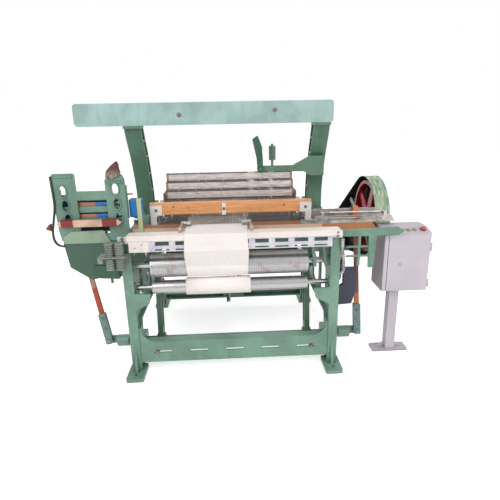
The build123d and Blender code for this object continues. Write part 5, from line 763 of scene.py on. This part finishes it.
def cloth_line():
    """The cloth's middle line in (y, z): flat over the beam, round the cover's edge, straight down to the
    hang, then round the sand roller's front."""
    top = BEAM_TOP + COVER_SHEET + 0.0010
    front = BEAM_FRONT - COVER_SHEET - 0.0013
    bend, hang = 0.004, 0.852
    over = arc((front + bend, top - bend), bend, 90, 180, 9)
    roller = arc(SAND_CENTRE, SAND_RADIUS + 0.0014, 172, 262, 26)
    level = [(-0.345, top), (-0.45, top)]
    hanging = [(front, hang), (front + 0.0006, hang - 0.006)]
    return np.concatenate([level, over, hanging, roller])


# The edges are drawn in and out by a sine along the run, times the cube of the distance from the middle.
# Ripples are a sine across, bent along the run, times the square of another along it. Points are lifted by
# their size along the line's normal, on the side away from the beam.
line, run = smooth_path(cloth_line(), 150)
across = np.linspace(CLOTH_LEFT, CLOTH_RIGHT, 72)
run_grid, across_grid = np.meshgrid(run, across, indexing="ij")
half_width = (CLOTH_RIGHT - CLOTH_LEFT) / 2
edge_pull = 0.0035 * np.sin(run_grid * 21.0) * ((across_grid - across.mean()) / half_width) ** 3
ripple = 0.0007 * np.sin(across_grid * 70.0 + 3 * np.sin(run_grid * 9.0)) * np.sin(run_grid * 11.0) ** 2
slope = np.gradient(line, axis=0)
slope /= np.linalg.norm(slope, axis=1, keepdims=True)
outward = np.stack([slope[:, 1], -slope[:, 0]], axis=1)
behind_cloth = np.array([-0.44, 0.84])
outward *= np.sign((outward * (line - behind_cloth)).sum(axis=1, keepdims=True))
lift = 0.0006 + np.abs(ripple)
cloth_points = np.stack([
    across_grid + edge_pull,
    line[:, 0:1] + outward[:, 0:1] * lift,
    line[:, 1:2] + outward[:, 1:2] * lift,
], axis=-1)
cloth = skin("cloth_length", cloth_points, chart=np.stack([across_grid, run_grid], axis=-1), thick=0.0007)
finished(cloth, cloth_finish, "frame", "cloth_web")


def wound(name, centre, low, high, inner, outer, seed):
    """Cloth wound on a roller, from x low to high: rows run round it and columns across. The radius is the
    outer one plus a small wave, the ends close down to the inner one, and noise moves the ends along X."""
    angle = np.linspace(0, 2 * math.pi, 97)[:-1]
    middle, shoulder = (inner + outer) / 2, outer - 0.002
    reach = np.array([inner, middle, shoulder, outer, outer, outer, outer, shoulder, middle, inner])
    places = np.array([0.0, 0.0, 0.0, 0.002, 0.33, 0.66, 0.998, 1.0, 1.0, 1.0])
    places = low + (high - low) * places
    rng = np.random.default_rng(seed)
    wave = rng.normal(0, 0.001, size=(len(angle),))
    wave = np.convolve(np.tile(wave, 3), np.ones(7) / 7, "same")[len(angle):2 * len(angle)]
    turn, place = np.meshgrid(angle, places, indexing="ij")
    swell = 0.0006 * np.sin(turn * 3 + place * 31) * (reach > inner + 0.004)
    radius = np.broadcast_to(reach, turn.shape) + swell
    x = place + wave[:, None] * np.sign(place - (low + high) / 2)
    points = np.stack([x, centre[0] + radius * np.cos(turn), centre[1] + radius * np.sin(turn)], axis=-1)
    points = np.concatenate([points, points[:1]], axis=0)
    length = np.append(angle, 2 * math.pi)[:, None] * outer
    chart = np.stack([points[..., 0], np.broadcast_to(length, points.shape[:2])], axis=-1)
    return skin(name, points, chart=chart)


roll = wound("cloth_wound", CLOTH_ROLL_CENTRE, low=-0.297, high=0.114, inner=0.0441, outer=0.0552, seed=4)
finished(roll, cloth_finish, "cloth_wind", "cloth_roll")


# Rods, threads, bolts and leather

def ringed(name, rings, smooth=True):
    """Closed bodies from rings shaped (bodies, rings, points, 3). Each ring joins the next one, and the first
    and the last are capped."""
    bodies, rows, sides = rings.shape[:3]
    index = np.arange(bodies * rows * sides).reshape(bodies, rows, sides)
    turned = np.roll(index, -1, axis=2)
    walls = np.stack([index[:, :-1], index[:, 1:], turned[:, 1:], turned[:, :-1]], axis=-1).reshape(-1, 4)
    caps = index[:, 0].tolist() + index[:, -1, ::-1].tolist()
    mesh = bpy.data.meshes.new(name)
    mesh.from_pydata(rings.reshape(-1, 3).tolist(), [], walls.tolist() + caps)
    mesh.polygons.foreach_set("use_smooth", np.full(len(mesh.polygons), smooth))
    mesh.update()
    return shown_as(name, mesh)


def strands(name, lines, width, height=None, side=(1.0, 0.0, 0.0), sides=4):
    """Strands along lines shaped (strands, points, 3). A ring reaches half a width along side, and half a
    height along side x travel."""
    lines = np.asarray(lines, dtype=float)
    travel = np.gradient(lines, axis=1)
    side = np.broadcast_to(np.asarray(side, dtype=float), lines.shape)
    rise = np.cross(side, travel)
    rise /= np.linalg.norm(rise, axis=2, keepdims=True)
    angle = (np.arange(sides) + 0.5) * 2 * math.pi / sides
    corner = 0.5 / math.cos(math.pi / sides)
    width = np.broadcast_to(np.asarray(width, dtype=float), lines.shape[:2])[..., None, None] * corner
    height = width if height is None else height * corner
    ring = (np.cos(angle)[:, None] * side[:, :, None] * width
            + np.sin(angle)[:, None] * rise[:, :, None] * height)
    return ringed(name, lines[:, :, None] + ring, smooth=sides > 4)


def bolts(name, body, places, radius, height, pointing=(0, -1, 0)):
    """Hexagon heads on washers. A head's reach is its radius over the cosine of the turn from a flat."""
    places = np.asarray(places, dtype=float)
    pointing = np.asarray(pointing, dtype=float)
    pointing = pointing / np.linalg.norm(pointing)
    side = np.cross((1.0, 0.0, 0.0), pointing)
    side /= np.linalg.norm(side)
    rise = np.cross(side, pointing)
    angle = np.arange(12) * math.pi / 6
    hexagon = 1 / np.cos((angle + math.pi / 6) % (math.pi / 3) - math.pi / 6)
    washer, rounded_top = np.full(12, 1.75), np.full(12, 0.86)
    reach = np.array([washer, washer, hexagon, hexagon, rounded_top]) * radius
    level = np.array([-0.001, 0.002, 0.002, height - 0.0015, height])
    around = np.cos(angle)[:, None] * side + np.sin(angle)[:, None] * rise
    ring = level[:, None, None] * pointing + reach[:, :, None] * around
    piece = ringed(name, places[:, None, None] + ring, smooth=False)
    return finished(piece, bolt_finish, body)


def rounded(points, count, blur):
    """A closed outline resampled evenly and softened by a moving mean."""
    points = np.asarray(points, dtype=float)
    even, _ = smooth_path(np.concatenate([points, points[:1]]), count + 1)
    even = even[:-1]
    return sum(np.roll(even, shift, axis=0) for shift in range(-blur, blur + 1)) / (2 * blur + 1)


def at_depth(points, y):
    """Points (x, z) set upright in the plane across the loom at y."""
    return np.insert(np.asarray(points, dtype=float), 1, y, axis=1)


bolt_finish = rolled_steel("bolt_steel", (0.20, 0.20, 0.19), 0.4, 0.5)
bolts("girder_bolts", "frame", [(-0.505, -0.535, 0.154), (0.505, -0.535, 0.154)], 0.010, 0.011)
bolts("top_beam_bolts", "frame", [(-0.324, -0.065, 1.640), (0.318, -0.065, 1.660)], 0.009, 0.006)
bolts("beam_end_bolts", "frame",
      [(x, BEAM_FRONT, z) for x in (-0.645, 0.645) for z in (0.918, 0.938)], 0.006, 0.007)
bolts("rail_screws", "lay", [(-0.382, -0.219, 1.050), (0.362, -0.219, 1.046)], 0.004, 0.003)
bolts("plate_screws", "lay", [(-0.498, -0.2225, 1.0286), (-0.045, -0.2225, 1.0300), (0.508, -0.2225, 1.0286)],
      0.0062, 0.005)
for side, (pivot_x, splay, distances, _) in STICKS.items():
    rise = np.array(stick_axis(splay))
    facing = np.array([0.0, -math.cos(STICK_LEAN), math.sin(STICK_LEAN)])
    foot = np.array([pivot_x, *STICK_PIVOT]) + facing * 0.017
    places = [foot + rise * distance for distance in distances]
    bolts("shoe_bolts_" + side, side + "_stick", places, 0.007, 0.008, facing)

# The leather cap: one outline in four rings, drawn in at its front and back
leather_edge = [(-0.769, 1.268), (-0.729, 1.260), (-0.684, 1.280), (-0.674, 1.303), (-0.682, 1.323),
                (-0.683, 1.351), (-0.693, 1.374), (-0.728, 1.347), (-0.763, 1.311)]
leather_face = rounded(leather_edge, 60, 1)
centre = leather_face.mean(axis=0)
leather_rings = np.stack([at_depth(centre + (leather_face - centre) * share, y)
                          for y, share in ((-0.354, 0.90), (-0.351, 0.99), (-0.330, 0.99), (-0.327, 0.90))])
finished(ringed("picker_leather_cap", leather_rings[None]), red_leather(), "lay")

# The check strap: a line of straight runs, softened by a moving mean of nine points
strap_corners = [(-1.104, 1.296), (-1.101, 1.204), (-1.100, 1.099), (-1.124, 0.996),
                 (-1.141, 0.922), (-1.134, 0.862), (-1.108, 0.836), (-1.068, 0.838)]
strap_path, _ = smooth_path(strap_corners, 60)
padded = np.pad(strap_path, ((4, 4), (0, 0)), "edge")
strap_path = sum(padded[shift:shift + 60] for shift in range(9)) / 9
spindle_path = [(-0.682, 1.158), (-0.650, 1.159), (-0.622, 1.160)]
tip_path = [(-1.138, 0.964), (-1.150, 0.962), (-1.166, 0.957), (-1.181, 0.953)]
tip_widths = [[0.050, 0.046, 0.024, 0.002]]
for name, path, y, width, height, sides, leather in (
        ("check_strap", strap_path, -0.348, 0.026, 0.011, 8, ("strap_leather", tint(62, 74, 56))),
        ("box_spindle", spindle_path, -0.300, 0.011, None, 12, ("spindle_leather", tint(204, 158, 148))),
        ("buffer_tip", tip_path, -0.345, tip_widths, None, 12, ("tip_leather", tint(112, 62, 54)))):
    piece = strands(name, at_depth(path, y)[None], width, height, side=(0.0, 1.0, 0.0), sides=sides)
    finished(piece, belt_leather(*leather), "lay")

# The reed's finer dents, the heald wires, and the warp from the fell to the back rest. Four warp ends pass
# each of the reed's gaps, and the wires go on outside the warp.
gap_middles = REED_LEFT + (np.arange(REED_GAPS) + 0.5) * REED_PITCH
dent_x = (gap_middles[:, None] + np.array([-0.18, 0.0, 0.18]) * REED_PITCH).ravel()
warp_x = (gap_middles[:, None] + np.array([-0.27, -0.09, 0.09, 0.27]) * REED_PITCH).ravel()
warp_x = warp_x[(warp_x > WARP_LEFT) & (warp_x < WARP_RIGHT)]
beside_warp = (dent_x < WARP_LEFT - 0.007) | (dent_x > WARP_RIGHT + 0.008)
outer_x = dent_x[(np.abs(dent_x) < 0.43) & beside_warp]
finished(strands("reed_dents", fan(dent_x, -0.198, [0.9315, 0.9835]), 0.0006, 0.006), reed_steel, "lay")


def ramp(start, end, x, count):
    """Straight lines from one point in YZ to another, one for each x."""
    share = np.linspace(0.0, 1.0, count)
    return fan(x, start[0] + (end[0] - start[0]) * share, start[1] + (end[1] - start[1]) * share)


thread_finish = cotton("warp_cotton", tint(240, 232, 222))
wire_finish = rolled_steel("heald_wire_steel", (0.36, 0.36, 0.37), 0.34, 0.15)
rest_top = (BACK_REST_CENTRE[0], BACK_REST_CENTRE[1] + BACK_REST_REACH)
WIRE, WIDE_WIRE, THREAD = 0.0006, 0.0016, 0.0005
for index in range(HEALD_COUNT):
    body = "heald_" + str(index + 1)
    eye = (HEALD_FIRST_Y + HEALD_PITCH * index, HEALD_EYE_Z + HEALD_STEP * index)
    low, high = HEALD_FOOT_Z + HEALD_STEP * index, HEALD_BAR_Z + 0.001 + HEALD_STEP * index
    shift = (index - 1) * 0.0005
    wire_x = np.concatenate([warp_x, outer_x]) + shift
    levels = [low, eye[1] - 0.007, eye[1] - 0.003, eye[1] + 0.003, eye[1] + 0.007, high]
    widths = np.tile([WIRE, WIRE, WIDE_WIRE, WIDE_WIRE, WIRE, WIRE], (len(wire_x), 1))
    widths[len(warp_x):] = WIDE_WIRE
    wires = fan(wire_x, eye[0], levels)
    finished(strands("heald_wires_" + str(index + 1), wires, widths, 0.0008), wire_finish, body)
    clip_x = np.array([-0.352, -0.236, -0.186, -0.063, 0.204, 0.268]) + index * 0.017
    clips = fan(clip_x, eye[0] - 0.0095, [high - 0.012, high + 0.069])
    finished(strands("heald_clips_" + str(index + 1), clips, 0.007, 0.004), heald_finish, body)
    thread_x = warp_x + shift
    fore = strands("warp_fore_" + str(index + 1), ramp(FELL, eye, thread_x, 14), THREAD)
    fore.data.materials.append(thread_finish)
    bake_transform(fore)
    aft = strands("warp_aft_" + str(index + 1), ramp(eye, rest_top, thread_x, 18), THREAD)
    aft.data.materials.append(thread_finish)
    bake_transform(aft)

# The warp over the back rest and down to its beam, along the common tangent of the two circles
over_rest = arc(BACK_REST_CENTRE, BACK_REST_REACH, 94, 21.2, 12)
onto_beam = arc(WARP_BEAM_CENTRE, WARP_BEAM_REACH, 21.2, -14, 10)
sheet_line, _ = smooth_path(np.concatenate([over_rest, onto_beam]), 60)
sheet_x = np.linspace(WARP_LEFT - 0.002, WARP_RIGHT + 0.002, 24)
sheet_points = fan(sheet_x, *sheet_line.T).swapaxes(0, 1)
finished(skin("warp_over_rest", sheet_points, thick=0.0008), warp_finish, "frame", "warp_sheet")


# Camera, light and floor

def looking(side, top, toward, place):
    """The matrix of something at a place that looks along toward, with side to its right and top above it."""
    columns = np.stack([side, top, -toward, place], axis=1)
    return Matrix([*columns.tolist(), (0.0, 0.0, 0.0, 1.0)])


def camera_axes(pitch, yaw, roll):
    """Right, up and forward for a camera that looks along +Y, then turns right, tips down and rolls."""
    pitch, yaw, roll = (math.radians(v) for v in (pitch, yaw, roll))
    forward = np.array([math.sin(yaw) * math.cos(pitch), math.cos(yaw) * math.cos(pitch), -math.sin(pitch)])
    level = np.array([math.cos(yaw), -math.sin(yaw), 0.0])
    down = np.cross(forward, level)
    right = math.cos(roll) * level + math.sin(roll) * down
    down = -math.sin(roll) * level + math.cos(roll) * down
    return right, -down, forward


# The photograph is 500 pixels wide, and its camera was fitted: focal length, place, and pitch, yaw and roll
SENSOR, PHOTO_PIXELS, FOCAL_PIXELS = 36.0, 500.0, 411.0
CAMERA_PLACE, CAMERA_TURNS = (0.008, -2.94, 1.6), (16.3, 2.5, 1.1)
lens = bpy.data.cameras.new("eye")
lens.sensor_width = SENSOR
lens.lens = SENSOR * FOCAL_PIXELS / PHOTO_PIXELS
lens.shift_y = -0.02
lens.clip_end = 60.0
camera = shown_as("eye", lens)
camera.matrix_world = looking(*camera_axes(*CAMERA_TURNS), CAMERA_PLACE)
bpy.context.scene.camera = camera


def lamp(name, place, target, size, power):
    """A rectangular lamp at a place, turned to a target, with its width level."""
    light = bpy.data.lights.new(name, "AREA")
    light.shape = "RECTANGLE"
    light.size, light.size_y = size
    light.energy = power
    toward = np.array(target, dtype=float) - np.array(place, dtype=float)
    toward /= np.linalg.norm(toward)
    side = np.cross(toward, (0, 0, 1.0))
    side /= np.linalg.norm(side)
    shown_as(name, light).matrix_world = looking(side, np.cross(side, toward), toward, place)


lamp("key", (-2.4, -3.4, 3.6), (0, 0, 0.7), (2.6, 2.6), 88)
lamp("fill", (3.0, -2.6, 2.2), (0, 0, 0.7), (2.6, 2.6), 56)
lamp("rim", (0.5, 3.4, 3.2), (0, 0, 0.8), (3.0, 2.0), 40)

# World and floor are white where they are seen, and give less light than that
SOFT_LIGHT, FLOOR_GLOW = 0.48, (0.62, 0.62, 0.62)
world = bpy.data.worlds.new("studio")
world.use_nodes = True
studio = Graph(world.node_tree)
sky = studio.nodes["Background"]
studio.put(sky.inputs["Color"], (1.0, 1.0, 1.0))
strength = studio.add("ShaderNodeMix", {}, {0: studio.seen_rays(), 2: SOFT_LIGHT, 3: 1.0})
studio.put(sky.inputs["Strength"], strength)
bpy.context.scene.world = world

FLOOR_Z = -0.0005
floor_corners = [(-14, -8, FLOOR_Z), (14, -8, FLOOR_Z), (14, 20, FLOOR_Z), (-14, 20, FLOOR_Z)]
floor_mesh = bpy.data.meshes.new("studio_floor")
floor_mesh.from_pydata(floor_corners, [], [(0, 1, 2, 3)])
floor = shown_as("studio_floor", floor_mesh)
ground = Paint("studio_floor", (0.93, 0.93, 0.93), 0.8, Emission_Strength=1.0)
ground.set("Emission Color", ground.blend(ground.seen_rays(), (0.0, 0.0, 0.0), FLOOR_GLOW))
floor_mesh.materials.append(ground.material)

bpy.context.scene.view_settings.view_transform = "Standard"
